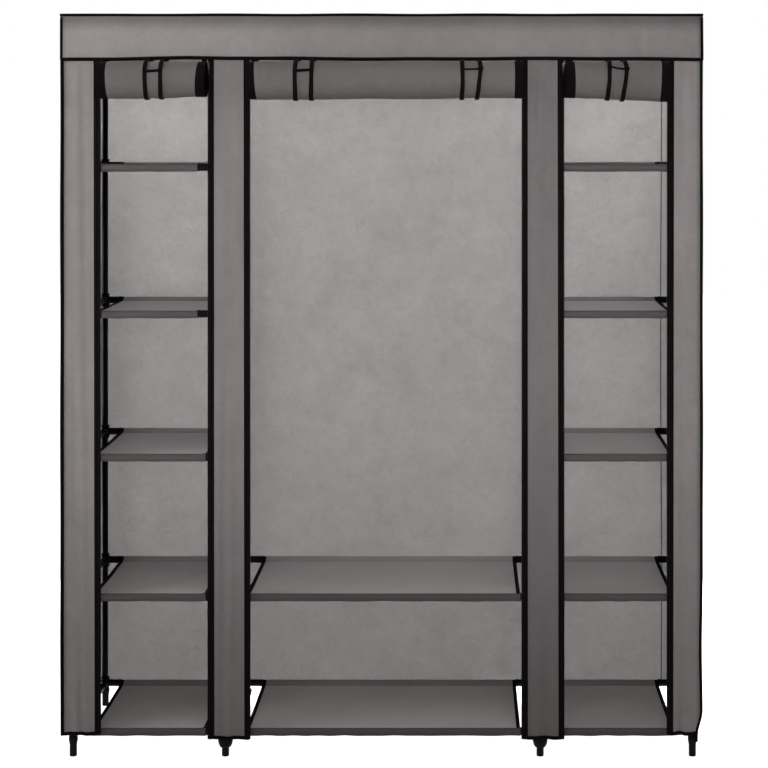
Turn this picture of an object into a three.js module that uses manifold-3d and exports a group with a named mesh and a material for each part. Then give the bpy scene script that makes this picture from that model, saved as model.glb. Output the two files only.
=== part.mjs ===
// Portable fabric wardrobe with three roll-up doors. Steel tubes in plastic connectors carry
// cloth shelves and a hanging rail, and a sewn cloth cover with zips goes over the frame.
// Millimetres, +Z up, front towards -Y, origin on the floor in the middle of the footprint.
import * as THREE from "three";
import { mergeVertices } from "three/addons/utils/BufferGeometryUtils.js";
import Module from "manifold-3d";

const wasm = await Module();
wasm.setup();

// Driving dimensions of the tube frame
const TUBE_DIAMETER = 13;
const SIDE_BAY_PITCH = 356; // post axis to post axis
const MIDDLE_BAY_PITCH = 736;
const FRAME_DEPTH = 412; // front tube axes to rear tube axes
const BOTTOM_TIER_HEIGHT = 57; // floor to the lowest tube axes
const TIER_RISES = [314.5, 327, 335, 343]; // from each tier of tubes to the next, upwards
const TOP_RISE = 347; // from the highest shelf to the roof tubes
const MIDDLE_SHELF_COUNT = 2;

// Driving dimensions of the plastic connectors and feet
const FIT_GAP = 0.3; // between pieces that touch
const COLLAR_WALL = 3.5;
const COLLAR_HEIGHT = 32;
const ARM_WALL = 2.7;
const OUTER_ARM_REACH = 40; // from a post's axis along the front or back
const INNER_ARM_REACH = 46;
const DEPTH_ARM_REACH = 42; // from a post's axis along the side
const RAIL_ARM_REACH = 34; // from a depth tube's axis along the hanging rail
const RAIL_SADDLE_LENGTH = 44;
const FOOT_STUB_DIAMETER = 17;
const FOOT_EDGE_ROUND = 1.5;
const OUTER_FOOT_STUB_HEIGHT = 26; // straight part, below the flare
const INNER_FOOT_STUB_HEIGHT = 20;
const OUTER_FOOT_DIAMETER = 22;
const INNER_FOOT_DIAMETER = 35;

// Driving dimensions of the cloth
const COVER_CLOTH = 1.6;
const SHELF_CLOTH = 1.4;
const SLEEVE_SLACK = 2.2; // a shelf's sleeve hangs this much below its tube
const PIPING_DIAMETER = 7.4;
const SIDE_CLEARANCE = 10.1; // connectors to the side cloth's deepest fold
const BACK_CLEARANCE = 3.1; // connectors to the back cloth's deepest fold
const SIDE_FOLD = 4;
const BACK_FOLD = 4;
const STILE_FOLD = 1.2;
const VALANCE_FOLD = 3;
const HEM_WAVE = 2.5;
const VALANCE_DROP = 109; // roof to the valance's hem
const OUTER_STILE_REACH = 62; // from an outer post's axis to the zip
const INNER_STILE_REACH = 49.5; // from a middle stile's centre to each of its zips
// The cover hangs off the frame's middle: how far each stile sits to the right of its mirror place
const LEFT_OUTER_OFFSET = 5;
const LEFT_INNER_OFFSET = 10;
const RIGHT_INNER_OFFSET = 6;
const RIGHT_OUTER_OFFSET = 1;
const OUTER_HEM_HEIGHT = 53; // floor to the cloth
const INNER_HEM_HEIGHT = 43;

// Driving dimensions of the zips
const COIL_WIDTH = 3;
const COIL_THICKNESS = 4;
const COIL_BEVEL = 0.7;
const SLIDER_WALL = 1.2;
const SLIDER_DIVIDER = 1.2;
const SLIDER_LENGTH = 15;
const SLIDER_RUN_CLEARANCE = 1.2; // slider to the connectors behind it
const SLIDER_HEM_CLEARANCE = 2;
const PULL_WIDTH = 8;
const PULL_LENGTH = 24;
const PULL_THICKNESS = 1.4;
const PULL_STANDOFF = 0.6;
const PULL_HOLE_DIAMETER = 4;
const LUG_WIDTH = 2.6;
const LUG_LENGTH = 6;

// Driving dimensions of the rolled doors and their ties
const ROLL_RADIUS = 45;
const ROLL_CORE_RADIUS = 8;
const ROLL_OVERHANG = 4; // past the zip at each end
const ROLL_TOP_CLEARANCE = 1; // roll to the valance's hem
const ROLL_FRONT_CLEARANCE = 2.3; // roll to the zip pulls
const TIE_WIDTH = 10;
const TIE_THICKNESS = 1;
const TIE_SPACING = 36; // from ribbon to ribbon of one tie
const KNOT_DROP = 24; // valance's hem to the knotted cross ribbon
const KNOT_HEIGHT = 9;
const KNOT_THICKNESS = 2;
const TIE_PLACE_SHARES = { left: [0.55], middle: [0.21, 0.81], right: [0.475] };

// Faceting
const TUBE_SIDES = 8;
const ROLL_STEPS = 12; // for each turn
const FOLD_STEPS = 12;
const VALANCE_STEPS = 18;
const FOOT_STEPS = 4;
const OVERRUN = 5; // cuts pass through their solids by this much

// Sizes that follow from the driving ones
const tubeRadius = TUBE_DIAMETER / 2;
const boreRadius = tubeRadius + FIT_GAP;
const collarRadius = boreRadius + COLLAR_WALL;
const armRadius = boreRadius + ARM_WALL;
const innerPostX = MIDDLE_BAY_PITCH / 2;
const outerPostX = innerPostX + SIDE_BAY_PITCH;
const postY = FRAME_DEPTH / 2;
const tierHeights = [BOTTOM_TIER_HEIGHT];
for (const rise of TIER_RISES) tierHeights.push(tierHeights.at(-1) + rise);
const topHeight = tierHeights.at(-1) + TOP_RISE;

const sliderHalfDepth = COIL_THICKNESS / 2 + FIT_GAP + SLIDER_WALL;
const stileY = -(postY + collarRadius + SLIDER_RUN_CLEARANCE + sliderHalfDepth);
const stileFrontY = stileY - COVER_CLOTH / 2;
const valanceBackY = stileFrontY - TIE_THICKNESS - 2 * FIT_GAP;
const valanceY = valanceBackY - COVER_CLOTH / 2;
const coverFrontY = valanceBackY - COVER_CLOTH;
const coverBackY = postY + collarRadius + BACK_CLEARANCE + BACK_FOLD + COVER_CLOTH;
const coverHalfWidth = outerPostX + collarRadius + SIDE_CLEARANCE + SIDE_FOLD + COVER_CLOTH;
const roofTop = topHeight + armRadius + FIT_GAP + COVER_CLOTH;
const pipingRadius = PIPING_DIAMETER / 2;
const panelTop = roofTop - PIPING_DIAMETER - FIT_GAP;
const hemHeight = roofTop - VALANCE_DROP;

const leftOuterZipX = LEFT_OUTER_OFFSET - outerPostX + OUTER_STILE_REACH;
const rightOuterZipX = RIGHT_OUTER_OFFSET + outerPostX - OUTER_STILE_REACH;
const leftStileX = LEFT_INNER_OFFSET - innerPostX;
const rightStileX = RIGHT_INNER_OFFSET + innerPostX;
const sliderOutReach = COIL_WIDTH + FIT_GAP + SLIDER_WALL;
const sliderInReach = FIT_GAP + SLIDER_DIVIDER + COIL_WIDTH + 2 * FIT_GAP + SLIDER_WALL;
const sliderTop = hemHeight - HEM_WAVE - SLIDER_HEM_CLEARANCE;
const pullFrontY = stileY - sliderHalfDepth - PULL_STANDOFF - PULL_THICKNESS;

const rollY = pullFrontY - ROLL_FRONT_CLEARANCE - ROLL_RADIUS;
const rollHeight = hemHeight - ROLL_TOP_CLEARANCE - ROLL_RADIUS;
const rolledLength = rollHeight - OUTER_HEM_HEIGHT;
const rollPitch = (Math.PI * (ROLL_RADIUS ** 2 - ROLL_CORE_RADIUS ** 2)) / rolledLength;

const finish = (color, roughness, metalness = 0) =>
  new THREE.MeshStandardMaterial({ color, roughness, metalness });
const blackSteel = finish(0x151414, 0.45, 0.35);
const blackPlastic = finish(0x171616, 0.6);
const coverCloth = finish(0x827e7c, 0.95);
const backCloth = finish(0x8f8b88, 0.95);
const shelfCloth = finish(0x6f6b69, 0.95);
const ribbon = finish(0x141213, 0.85);
const zipMetal = finish(0x1c1a1a, 0.4, 0.5);

const wardrobe = new THREE.Group();
const X = new THREE.Vector3(1, 0, 0);
const Y = new THREE.Vector3(0, 1, 0);
const Z = new THREE.Vector3(0, 0, 1);

// Adds a named piece to the wardrobe, from a geometry or a joined solid.
function addPiece(name, shape, material) {
  const piece = new THREE.Mesh(shape.isBufferGeometry ? shape : geometryOf(shape), material);
  piece.name = name;
  wardrobe.add(piece);
}

function solidOf(geometry) {
  const bare = geometry.clone();
  bare.deleteAttribute("normal");
  bare.deleteAttribute("uv");
  const merged = mergeVertices(bare);
  const mesh = new wasm.Mesh({
    numProp: 3,
    vertProperties: merged.attributes.position.array,
    triVerts: new Uint32Array(merged.index.array),
  });
  return new wasm.Manifold(mesh);
}

function geometryOf(solid) {
  const mesh = solid.getMesh();
  const geometry = new THREE.BufferGeometry();
  geometry.setAttribute("position", new THREE.BufferAttribute(mesh.vertProperties, mesh.numProp));
  geometry.setIndex(new THREE.BufferAttribute(mesh.triVerts, 1));
  const faceted = geometry.toNonIndexed();
  faceted.computeVertexNormals();
  return faceted;
}

const join = (solids) => solids.reduce((whole, solid) => whole.add(solid));
const cut = (solid, tools) => tools.reduce((rest, tool) => rest.subtract(tool), solid);

// A round bar along X, Y or Z between two points of that axis, at the place in the other two.
function bar(axis, low, high, place, radius) {
  const geometry = new THREE.CylinderGeometry(radius, radius, high - low, TUBE_SIDES);
  if (axis === X) geometry.rotateZ(-Math.PI / 2);
  if (axis === Z) geometry.rotateX(Math.PI / 2);
  const centre = place.clone().addScaledVector(axis, (low + high) / 2);
  geometry.translate(centre.x, centre.y, centre.z);
  return solidOf(geometry);
}

function block(low, high) {
  const size = high.clone().sub(low);
  const geometry = new THREE.BoxGeometry(size.x, size.y, size.z);
  geometry.translate((low.x + high.x) / 2, (low.y + high.y) / 2, (low.z + high.z) / 2);
  return solidOf(geometry);
}

// An outline drawn across an axis and drawn out along it: (y, z) along X, (x, z) along Y
// and (x, y) along Z.
function drawn(axis, low, high, outline, holes = []) {
  const shape = new THREE.Shape(outline);
  shape.holes = holes.map((hole) => new THREE.Path(hole));
  const geometry = new THREE.ExtrudeGeometry(shape, { depth: high - low, bevelEnabled: false });
  const frame = new THREE.Matrix4();
  if (axis === X) frame.makeBasis(Y, Z, X).setPosition(low, 0, 0);
  if (axis === Y) frame.makeBasis(X, Z, Y.clone().negate()).setPosition(0, high, 0);
  if (axis === Z) frame.setPosition(0, 0, low);
  return geometry.applyMatrix4(frame);
}

const point = (x, y) => new THREE.Vector2(x, y);

function arc(centre, radius, start, end, steps) {
  return Array.from({ length: steps + 1 }, (_, i) => {
    const angle = start + ((end - start) * i) / steps;
    return point(centre.x + radius * Math.cos(angle), centre.y + radius * Math.sin(angle));
  });
}

// The outline of a strip of cloth whose middle follows a line of points.
function stripOutline(line, thickness) {
  const sides = line.map((p, i) => {
    const before = line[Math.max(i - 1, 0)];
    const after = line[Math.min(i + 1, line.length - 1)];
    const into = p.clone().sub(i ? before : p).normalize();
    const out = after.clone().sub(p).normalize();
    const along = into.clone().add(out).normalize();
    const bend = along.dot(out.lengthSq() ? out : into);
    const half = thickness / 2 / bend;
    return point(-along.y * half, along.x * half);
  });
  const left = line.map((p, i) => p.clone().add(sides[i]));
  const right = line.map((p, i) => p.clone().sub(sides[i]));
  return [...left, ...right.reverse()];
}

// The outline of a hanging cloth seen from above: stations of place, offset and half thickness.
function hangingOutline(stations) {
  const front = stations.map(([x, y, half]) => point(x, y - half));
  const back = stations.map(([x, y, half]) => point(x, y + half));
  return [...front, ...back.reverse()];
}

// Posts: one tube from foot to roof, its moulded foot pushed on below
function postGeometry(footDiameter, stubHeight, domed) {
  const footTop = BOTTOM_TIER_HEIGHT - COLLAR_HEIGHT / 2 - FIT_GAP;
  const stubRadius = FOOT_STUB_DIAMETER / 2;
  const footRadius = footDiameter / 2;
  const swell = footRadius - stubRadius;
  const flare = Array.from({ length: FOOT_STEPS + 1 }, (_, i) => {
    const rise = i / FOOT_STEPS;
    const turn = (rise * Math.PI) / 2;
    const out = domed ? Math.sin(turn) : rise;
    const up = domed ? 1 - Math.cos(turn) : rise;
    return point(stubRadius + swell * out, stubHeight + (footTop - stubHeight) * up);
  });
  const profile = [
    point(0, 0),
    point(stubRadius - FOOT_EDGE_ROUND, 0),
    point(stubRadius, FOOT_EDGE_ROUND),
    ...flare,
    point(tubeRadius, footTop),
    point(tubeRadius, topHeight - FIT_GAP),
    point(0, topHeight - FIT_GAP),
  ];
  return new THREE.LatheGeometry(profile, TUBE_SIDES).rotateX(Math.PI / 2);
}

const rows = [
  { name: "front", y: -postY },
  { name: "rear", y: postY },
];
const columns = [
  { name: "left_outer", x: -outerPostX, outer: true },
  { name: "left_inner", x: -innerPostX, outer: false },
  { name: "right_inner", x: innerPostX, outer: false },
  { name: "right_outer", x: outerPostX, outer: true },
];
for (const row of rows) {
  for (const column of columns) {
    const geometry = column.outer
      ? postGeometry(OUTER_FOOT_DIAMETER, OUTER_FOOT_STUB_HEIGHT, false)
      : postGeometry(INNER_FOOT_DIAMETER, INNER_FOOT_STUB_HEIGHT, true);
    geometry.translate(column.x, row.y, 0);
    addPiece(`post_${row.name}_${column.name}`, geometry, blackSteel);
  }
}

// A connector's arm along X from a post, hollow where a loose tube plugs in
function arm(column, y, z, side, reach) {
  const ends = [column.x, column.x + side * reach].sort((a, b) => a - b);
  return bar(X, ends[0], ends[1], new THREE.Vector3(0, y, z), armRadius);
}

function socket(column, y, z, side, reach) {
  const ends = [side * collarRadius, side * (reach + OVERRUN)].map((along) => column.x + along);
  ends.sort((a, b) => a - b);
  return bar(X, ends[0], ends[1], new THREE.Vector3(0, y, z), boreRadius);
}

// The tubes and connectors of one shelf of a side bay: a ring between four posts
function shelfFrame(outer, inner, z, feedsMiddle) {
  const towardsInner = Math.sign(inner.x - outer.x);
  const [low, high] = [outer.x, inner.x].sort((a, b) => a - b);
  const solids = [];
  const bores = [];
  for (const row of rows) {
    solids.push(bar(X, low, high, new THREE.Vector3(0, row.y, z), tubeRadius));
    solids.push(arm(outer, row.y, z, towardsInner, OUTER_ARM_REACH));
    solids.push(arm(inner, row.y, z, -towardsInner, INNER_ARM_REACH));
    if (feedsMiddle) {
      solids.push(arm(inner, row.y, z, towardsInner, INNER_ARM_REACH));
      bores.push(socket(inner, row.y, z, towardsInner, INNER_ARM_REACH));
    }
  }
  for (const column of [outer, inner]) {
    const side = new THREE.Vector3(column.x, 0, z);
    solids.push(bar(Y, -postY, postY, side, tubeRadius));
    solids.push(bar(Y, -postY, -postY + DEPTH_ARM_REACH, side, armRadius));
    solids.push(bar(Y, postY - DEPTH_ARM_REACH, postY, side, armRadius));
    for (const row of rows) {
      const corner = new THREE.Vector3(column.x, row.y, 0);
      const half = COLLAR_HEIGHT / 2;
      solids.push(bar(Z, z - half, z + half, corner, collarRadius));
      bores.push(bar(Z, z - half - OVERRUN, z + half + OVERRUN, corner, boreRadius));
    }
  }
  return cut(join(solids), bores);
}

const sides = [
  { name: "left", outer: columns[0], inner: columns[1] },
  { name: "right", outer: columns[3], inner: columns[2] },
];
for (const side of sides) {
  tierHeights.forEach((z, tier) => {
    const frame = shelfFrame(side.outer, side.inner, z, tier < MIDDLE_SHELF_COUNT);
    addPiece(`shelf_frame_${side.name}_${tier + 1}`, frame, blackPlastic);
  });
}

// The roof tubes: long tubes front and rear, four depth tubes, and saddles for the hanging rail
function topFrame() {
  const z = topHeight;
  const solids = [];
  const bores = [];
  for (const row of rows) {
    const place = new THREE.Vector3(0, row.y, z);
    solids.push(bar(X, -outerPostX, outerPostX, place, tubeRadius));
  }
  for (const column of columns) {
    const inwards = -Math.sign(column.x);
    const side = new THREE.Vector3(column.x, 0, z);
    solids.push(bar(Y, -postY, postY, side, tubeRadius));
    solids.push(bar(Y, -postY, -postY + DEPTH_ARM_REACH, side, armRadius));
    solids.push(bar(Y, postY - DEPTH_ARM_REACH, postY, side, armRadius));
    for (const row of rows) {
      const corner = new THREE.Vector3(column.x, row.y, 0);
      const reach = column.outer ? OUTER_ARM_REACH : INNER_ARM_REACH;
      solids.push(arm(column, row.y, z, inwards, reach));
      if (!column.outer) solids.push(arm(column, row.y, z, -inwards, reach));
      solids.push(bar(Z, z - COLLAR_HEIGHT, z + tubeRadius, corner, collarRadius));
      bores.push(bar(Z, z - COLLAR_HEIGHT - OVERRUN, z, corner, boreRadius));
    }
    if (column.outer) continue;
    const saddle = RAIL_SADDLE_LENGTH / 2;
    solids.push(bar(Y, -saddle, saddle, side, armRadius));
    solids.push(arm(column, 0, z, inwards, RAIL_ARM_REACH));
    bores.push(socket(column, 0, z, inwards, RAIL_ARM_REACH));
  }
  return cut(join(solids), bores);
}
addPiece("top_frame", topFrame(), blackPlastic);

// Loose tubes of the middle bay, plugged into the sockets at both ends
const looseTube = (y, z) => {
  const end = innerPostX - collarRadius - FIT_GAP;
  return bar(X, -end, end, new THREE.Vector3(0, y, z), tubeRadius);
};
for (const row of rows) {
  tierHeights.slice(0, MIDDLE_SHELF_COUNT).forEach((z, tier) => {
    addPiece(`middle_tube_${row.name}_${tier + 1}`, looseTube(row.y, z), blackSteel);
  });
}
addPiece("hanging_rail", looseTube(0, topHeight), blackSteel);

// A shelf: one flat cloth with a loose sleeve round the front tube and one round the rear tube
function shelfGeometry(low, high, z) {
  const outside = boreRadius + SHELF_CLOTH;
  const half = TUBE_SIDES / 2;
  const sleeve = (y, radius) => [
    ...arc(point(y, z), radius, 0, Math.PI, half),
    ...arc(point(y, z - SLEEVE_SLACK), radius, Math.PI, 2 * Math.PI, half),
  ];
  // The web leaves each sleeve's inner side half way down
  const webTop = z + (SHELF_CLOTH - SLEEVE_SLACK) / 2;
  const webFoot = webTop - SHELF_CLOTH;
  const outline = [
    ...sleeve(-postY, outside),
    point(-postY + outside, webFoot),
    point(postY - outside, webFoot),
    ...arc(point(postY, z - SLEEVE_SLACK), outside, Math.PI, 2 * Math.PI, half),
    ...arc(point(postY, z), outside, 0, Math.PI, half),
    point(postY - outside, webTop),
    point(-postY + outside, webTop),
  ];
  const holes = [sleeve(-postY, boreRadius), sleeve(postY, boreRadius)];
  return drawn(X, low, high, outline, holes);
}

const outerShelfEnd = outerPostX - OUTER_ARM_REACH - FIT_GAP;
const innerShelfEnd = innerPostX + INNER_ARM_REACH + FIT_GAP;
const middleShelfEnd = innerPostX - INNER_ARM_REACH - FIT_GAP;
tierHeights.forEach((z, tier) => {
  const left = shelfGeometry(-outerShelfEnd, -innerShelfEnd, z);
  addPiece(`shelf_left_${tier + 1}`, left, shelfCloth);
  if (tier < MIDDLE_SHELF_COUNT) {
    const middle = shelfGeometry(-middleShelfEnd, middleShelfEnd, z);
    addPiece(`shelf_middle_${tier + 1}`, middle, shelfCloth);
  }
  const right = shelfGeometry(innerShelfEnd, outerShelfEnd, z);
  addPiece(`shelf_right_${tier + 1}`, right, shelfCloth);
});

// The valance: a curtain of cloth that swings forwards in soft folds towards its wavy hem
function valance() {
  const folds = 5;
  const waves = 3;
  const fold = (share) => (1 - Math.cos(2 * Math.PI * folds * share)) / 2;
  const wave = (share) => Math.sin(2 * Math.PI * waves * share);
  const top = roofTop - pipingRadius;
  const rowsDown = 2;
  const corners = [];
  for (const half of [-COVER_CLOTH / 2, COVER_CLOTH / 2]) {
    for (let row = 0; row <= rowsDown; row += 1) {
      for (let step = 0; step <= VALANCE_STEPS; step += 1) {
        const along = step / VALANCE_STEPS;
        const down = row / rowsDown;
        const hem = hemHeight + HEM_WAVE * wave(along);
        const x = coverHalfWidth * (2 * along - 1);
        const y = valanceY - VALANCE_FOLD * down * fold(along) + half;
        corners.push(x, y, top + (hem - top) * down);
      }
    }
  }
  const wide = VALANCE_STEPS + 1;
  const face = wide * (rowsDown + 1);
  const index = [];
  const quad = (a, b, c, d) => index.push(a, b, c, a, c, d);
  for (let row = 0; row < rowsDown; row += 1) {
    for (let step = 0; step < VALANCE_STEPS; step += 1) {
      const at = row * wide + step;
      quad(at, at + wide, at + wide + 1, at + 1);
      quad(face + at, face + at + 1, face + at + wide + 1, face + at + wide);
    }
    const [left, right] = [row * wide, row * wide + VALANCE_STEPS];
    quad(left, face + left, face + left + wide, left + wide);
    quad(right, right + wide, face + right + wide, face + right);
  }
  for (let step = 0; step < VALANCE_STEPS; step += 1) {
    const last = rowsDown * wide + step;
    quad(step, step + 1, face + step + 1, face + step);
    quad(last, face + last, face + last + 1, last + 1);
  }
  const geometry = new THREE.BufferGeometry();
  geometry.setAttribute("position", new THREE.Float32BufferAttribute(corners, 3));
  geometry.setIndex(index);
  return solidOf(geometry);
}

// The roof: a cloth with piping sewn round its four edges, and the valance below the front one
function roof() {
  const z = roofTop - pipingRadius;
  const [front, back] = [coverFrontY + pipingRadius, coverBackY - pipingRadius];
  const side = coverHalfWidth - pipingRadius;
  const cloth = block(
    new THREE.Vector3(-side, front, roofTop - COVER_CLOTH),
    new THREE.Vector3(side, back, roofTop),
  );
  const solids = [cloth, valance()];
  for (const y of [front, back]) {
    const place = new THREE.Vector3(0, y, z);
    solids.push(bar(X, -coverHalfWidth, coverHalfWidth, place, pipingRadius));
  }
  for (const x of [-side, side]) {
    solids.push(bar(Y, front, back, new THREE.Vector3(x, 0, z), pipingRadius));
  }
  return join(solids);
}
addPiece("cover_roof", roof(), coverCloth);

// Soft vertical folds across a hanging cloth, all to one side and flat at its edges
function foldedStations(low, high, place, depth, folds, steps) {
  return Array.from({ length: steps + 1 }, (_, i) => {
    const share = i / steps;
    const fold = (1 - Math.cos(2 * Math.PI * folds * share)) / 2;
    return [low + (high - low) * share, place + depth * fold, COVER_CLOTH / 2];
  });
}

// The back: one cloth between the piping of the rear corners
const backFolds = 4;
const backEdge = coverHalfWidth - PIPING_DIAMETER - FIT_GAP;
const backPlace = coverBackY - COVER_CLOTH / 2;
const backRun = foldedStations(
  -backEdge, backEdge, backPlace, -BACK_FOLD, backFolds, 2 * FOLD_STEPS,
);
addPiece(
  "cover_back",
  drawn(Z, OUTER_HEM_HEIGHT, panelTop, hangingOutline(backRun)),
  backCloth,
);

// The sides: one cloth each, with the piping of its front and rear corner
const cornerFrontY = valanceBackY + FIT_GAP + pipingRadius;
const cornerBackY = coverBackY - pipingRadius;
function sidePanel(direction) {
  const folds = 2;
  const place = coverHalfWidth - COVER_CLOTH / 2;
  const run = foldedStations(
    cornerFrontY, cornerBackY, place, -SIDE_FOLD, folds, FOLD_STEPS,
  );
  const outline = hangingOutline(run).map((p) => point(direction * p.y, p.x));
  const solids = [solidOf(drawn(Z, OUTER_HEM_HEIGHT, panelTop, outline))];
  for (const y of [cornerFrontY, cornerBackY]) {
    const corner = new THREE.Vector3(direction * (coverHalfWidth - pipingRadius), y, 0);
    solids.push(bar(Z, OUTER_HEM_HEIGHT, panelTop, corner, pipingRadius));
  }
  return join(solids);
}
addPiece("cover_side_left", sidePanel(-1), coverCloth);
addPiece("cover_side_right", sidePanel(1), coverCloth);

// The zip coil along a stile's edge, from the zip's line into the cloth
function coilStations(zipX, intoCloth) {
  const half = COIL_THICKNESS / 2;
  const edge = half - COIL_BEVEL;
  return [
    [zipX, stileY, edge],
    [zipX + intoCloth * COIL_BEVEL, stileY, half],
    [zipX + intoCloth * (COIL_WIDTH - COIL_BEVEL), stileY, half],
    [zipX + intoCloth * COIL_WIDTH, stileY, COVER_CLOTH / 2],
  ];
}

// A stile's cloth between its edges, waving a little to both sides
function stileCloth(low, high, steps) {
  const waves = 1.5;
  return Array.from({ length: steps - 1 }, (_, i) => {
    const share = (i + 1) / steps;
    const wave = Math.sin(2 * Math.PI * waves * share) * Math.sin(Math.PI * share);
    return [low + (high - low) * share, stileY + STILE_FOLD * wave, COVER_CLOTH / 2];
  });
}

function innerStile(centre) {
  const [low, high] = [centre - INNER_STILE_REACH, centre + INNER_STILE_REACH];
  const stations = [
    ...coilStations(low, 1),
    ...stileCloth(low + COIL_WIDTH, high - COIL_WIDTH, FOLD_STEPS),
    ...coilStations(high, -1).reverse(),
  ];
  return drawn(Z, INNER_HEM_HEIGHT, panelTop, hangingOutline(stations));
}

function outerStile(zipX) {
  const direction = Math.sign(zipX);
  const zip = Math.abs(zipX);
  const edge = coverHalfWidth - PIPING_DIAMETER - FIT_GAP;
  const stations = [
    ...coilStations(zip, 1),
    ...stileCloth(zip + COIL_WIDTH, edge, FOLD_STEPS),
    [edge, stileY, COVER_CLOTH / 2],
  ];
  const outline = hangingOutline(stations).map((p) => point(direction * p.x, p.y));
  return drawn(Z, OUTER_HEM_HEIGHT, panelTop, outline);
}
addPiece("stile_left_outer", outerStile(leftOuterZipX), coverCloth);
addPiece("stile_left_inner", innerStile(leftStileX), coverCloth);
addPiece("stile_right_inner", innerStile(rightStileX), coverCloth);
addPiece("stile_right_outer", outerStile(rightOuterZipX), coverCloth);

// A zip slider: two plates and a divider round the stile's coil, with a lug and a hanging pull
function zipSlider(zipX, intoCloth) {
  const across = (u) => zipX + intoCloth * u;
  const box = (u0, u1, v0, v1, z0, z1) => {
    const [x0, x1] = [across(u0), across(u1)].sort((a, b) => a - b);
    return block(new THREE.Vector3(x0, stileY + v0, z0), new THREE.Vector3(x1, stileY + v1, z1));
  };
  const bottom = sliderTop - SLIDER_LENGTH;
  const taper = SLIDER_LENGTH / 2;
  const inset = SLIDER_WALL / 2;
  const outline = [
    point(across(-sliderInReach + inset), bottom),
    point(across(sliderOutReach - inset), bottom),
    point(across(sliderOutReach), bottom + taper),
    point(across(sliderOutReach), sliderTop - inset),
    point(across(sliderOutReach - inset), sliderTop),
    point(across(-sliderInReach + inset), sliderTop),
    point(across(-sliderInReach), sliderTop - inset),
    point(across(-sliderInReach), bottom + taper),
  ];
  const plates = drawn(Y, stileY - sliderHalfDepth, stileY + sliderHalfDepth, outline);
  const coilRoom = COIL_THICKNESS / 2 + FIT_GAP;
  const clothRoom = COVER_CLOTH / 2 + FIT_GAP;
  const [z0, z1] = [bottom - OVERRUN, sliderTop + OVERRUN];
  const coilEnd = COIL_WIDTH + FIT_GAP;
  const otherStart = -FIT_GAP - SLIDER_DIVIDER;
  const otherEnd = otherStart - COIL_WIDTH - 2 * FIT_GAP;
  const channels = [
    box(-FIT_GAP, coilEnd, -coilRoom, coilRoom, z0, z1),
    box(0, sliderOutReach + OVERRUN, -clothRoom, clothRoom, z0, z1),
    box(otherEnd, otherStart, -coilRoom, coilRoom, z0, z1),
    box(-sliderInReach - OVERRUN, otherEnd + COIL_BEVEL, -clothRoom, clothRoom, z0, z1),
  ];
  const pullTop = sliderTop - taper / 2;
  const centre = (sliderOutReach - sliderInReach) / 2;
  const front = -sliderHalfDepth - PULL_STANDOFF;
  const lug = box(
    centre - LUG_WIDTH / 2, centre + LUG_WIDTH / 2,
    front - PULL_THICKNESS, -coilRoom - SLIDER_WALL / 2,
    pullTop - LUG_LENGTH, pullTop,
  );
  const pull = box(
    centre - PULL_WIDTH / 2, centre + PULL_WIDTH / 2,
    front - PULL_THICKNESS, front,
    pullTop - PULL_LENGTH, pullTop,
  );
  const eyeHeight = pullTop - PULL_LENGTH + PULL_WIDTH / 2;
  const eye = bar(
    Y, stileY + front - PULL_THICKNESS - OVERRUN, stileY + front + PULL_STANDOFF,
    new THREE.Vector3(across(centre), 0, eyeHeight), PULL_HOLE_DIAMETER / 2,
  );
  return join([cut(solidOf(plates), channels), cut(pull, [eye]), lug]);
}

const doors = [
  {
    name: "left", zips: ["left_outer", "left_inner"],
    low: leftOuterZipX, high: leftStileX - INNER_STILE_REACH,
  },
  {
    name: "middle", zips: ["middle_left", "middle_right"],
    low: leftStileX + INNER_STILE_REACH, high: rightStileX - INNER_STILE_REACH,
  },
  {
    name: "right", zips: ["right_inner", "right_outer"],
    low: rightStileX + INNER_STILE_REACH, high: rightOuterZipX,
  },
];
for (const door of doors) {
  addPiece(`zip_slider_${door.zips[0]}`, zipSlider(door.low, -1), zipMetal);
  addPiece(`zip_slider_${door.zips[1]}`, zipSlider(door.high, 1), zipMetal);
}

// The middle line of a rolled door, wound inwards from the back of the roll
function rollLine() {
  const start = ROLL_RADIUS - COVER_CLOTH / 2;
  const turns = (start - ROLL_CORE_RADIUS) / rollPitch;
  const steps = Math.round(turns * ROLL_STEPS);
  return Array.from({ length: steps + 1 }, (_, i) => {
    const turn = (i / steps) * turns;
    const radius = start - rollPitch * turn;
    const angle = -2 * Math.PI * turn;
    return point(rollY + radius * Math.cos(angle), rollHeight + radius * Math.sin(angle));
  });
}

// The least gap between neighbouring turns of a wound line of cloth
function leastGap(line, thickness) {
  let least = Infinity;
  line.forEach((p, i) => {
    for (let j = i + ROLL_STEPS - 1; j < line.length; j += 1) {
      least = Math.min(least, p.distanceTo(line[j]) - thickness);
    }
  });
  return least;
}
const wound = rollLine();
console.log(`least gap in a rolled door ${leastGap(wound, COVER_CLOTH).toFixed(2)} mm`);

// The door's cloth between the roof seam and the roll: straight down behind the valance, then
// forwards to the back of the roll
const curtainTop = point(stileY, panelTop);
const curtainBend = point(stileY, hemHeight - HEM_WAVE - FIT_GAP - TIE_THICKNESS);
const curtainFoot = point(rollY + ROLL_RADIUS - COVER_CLOTH / 2, rollHeight + FIT_GAP);

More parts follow.
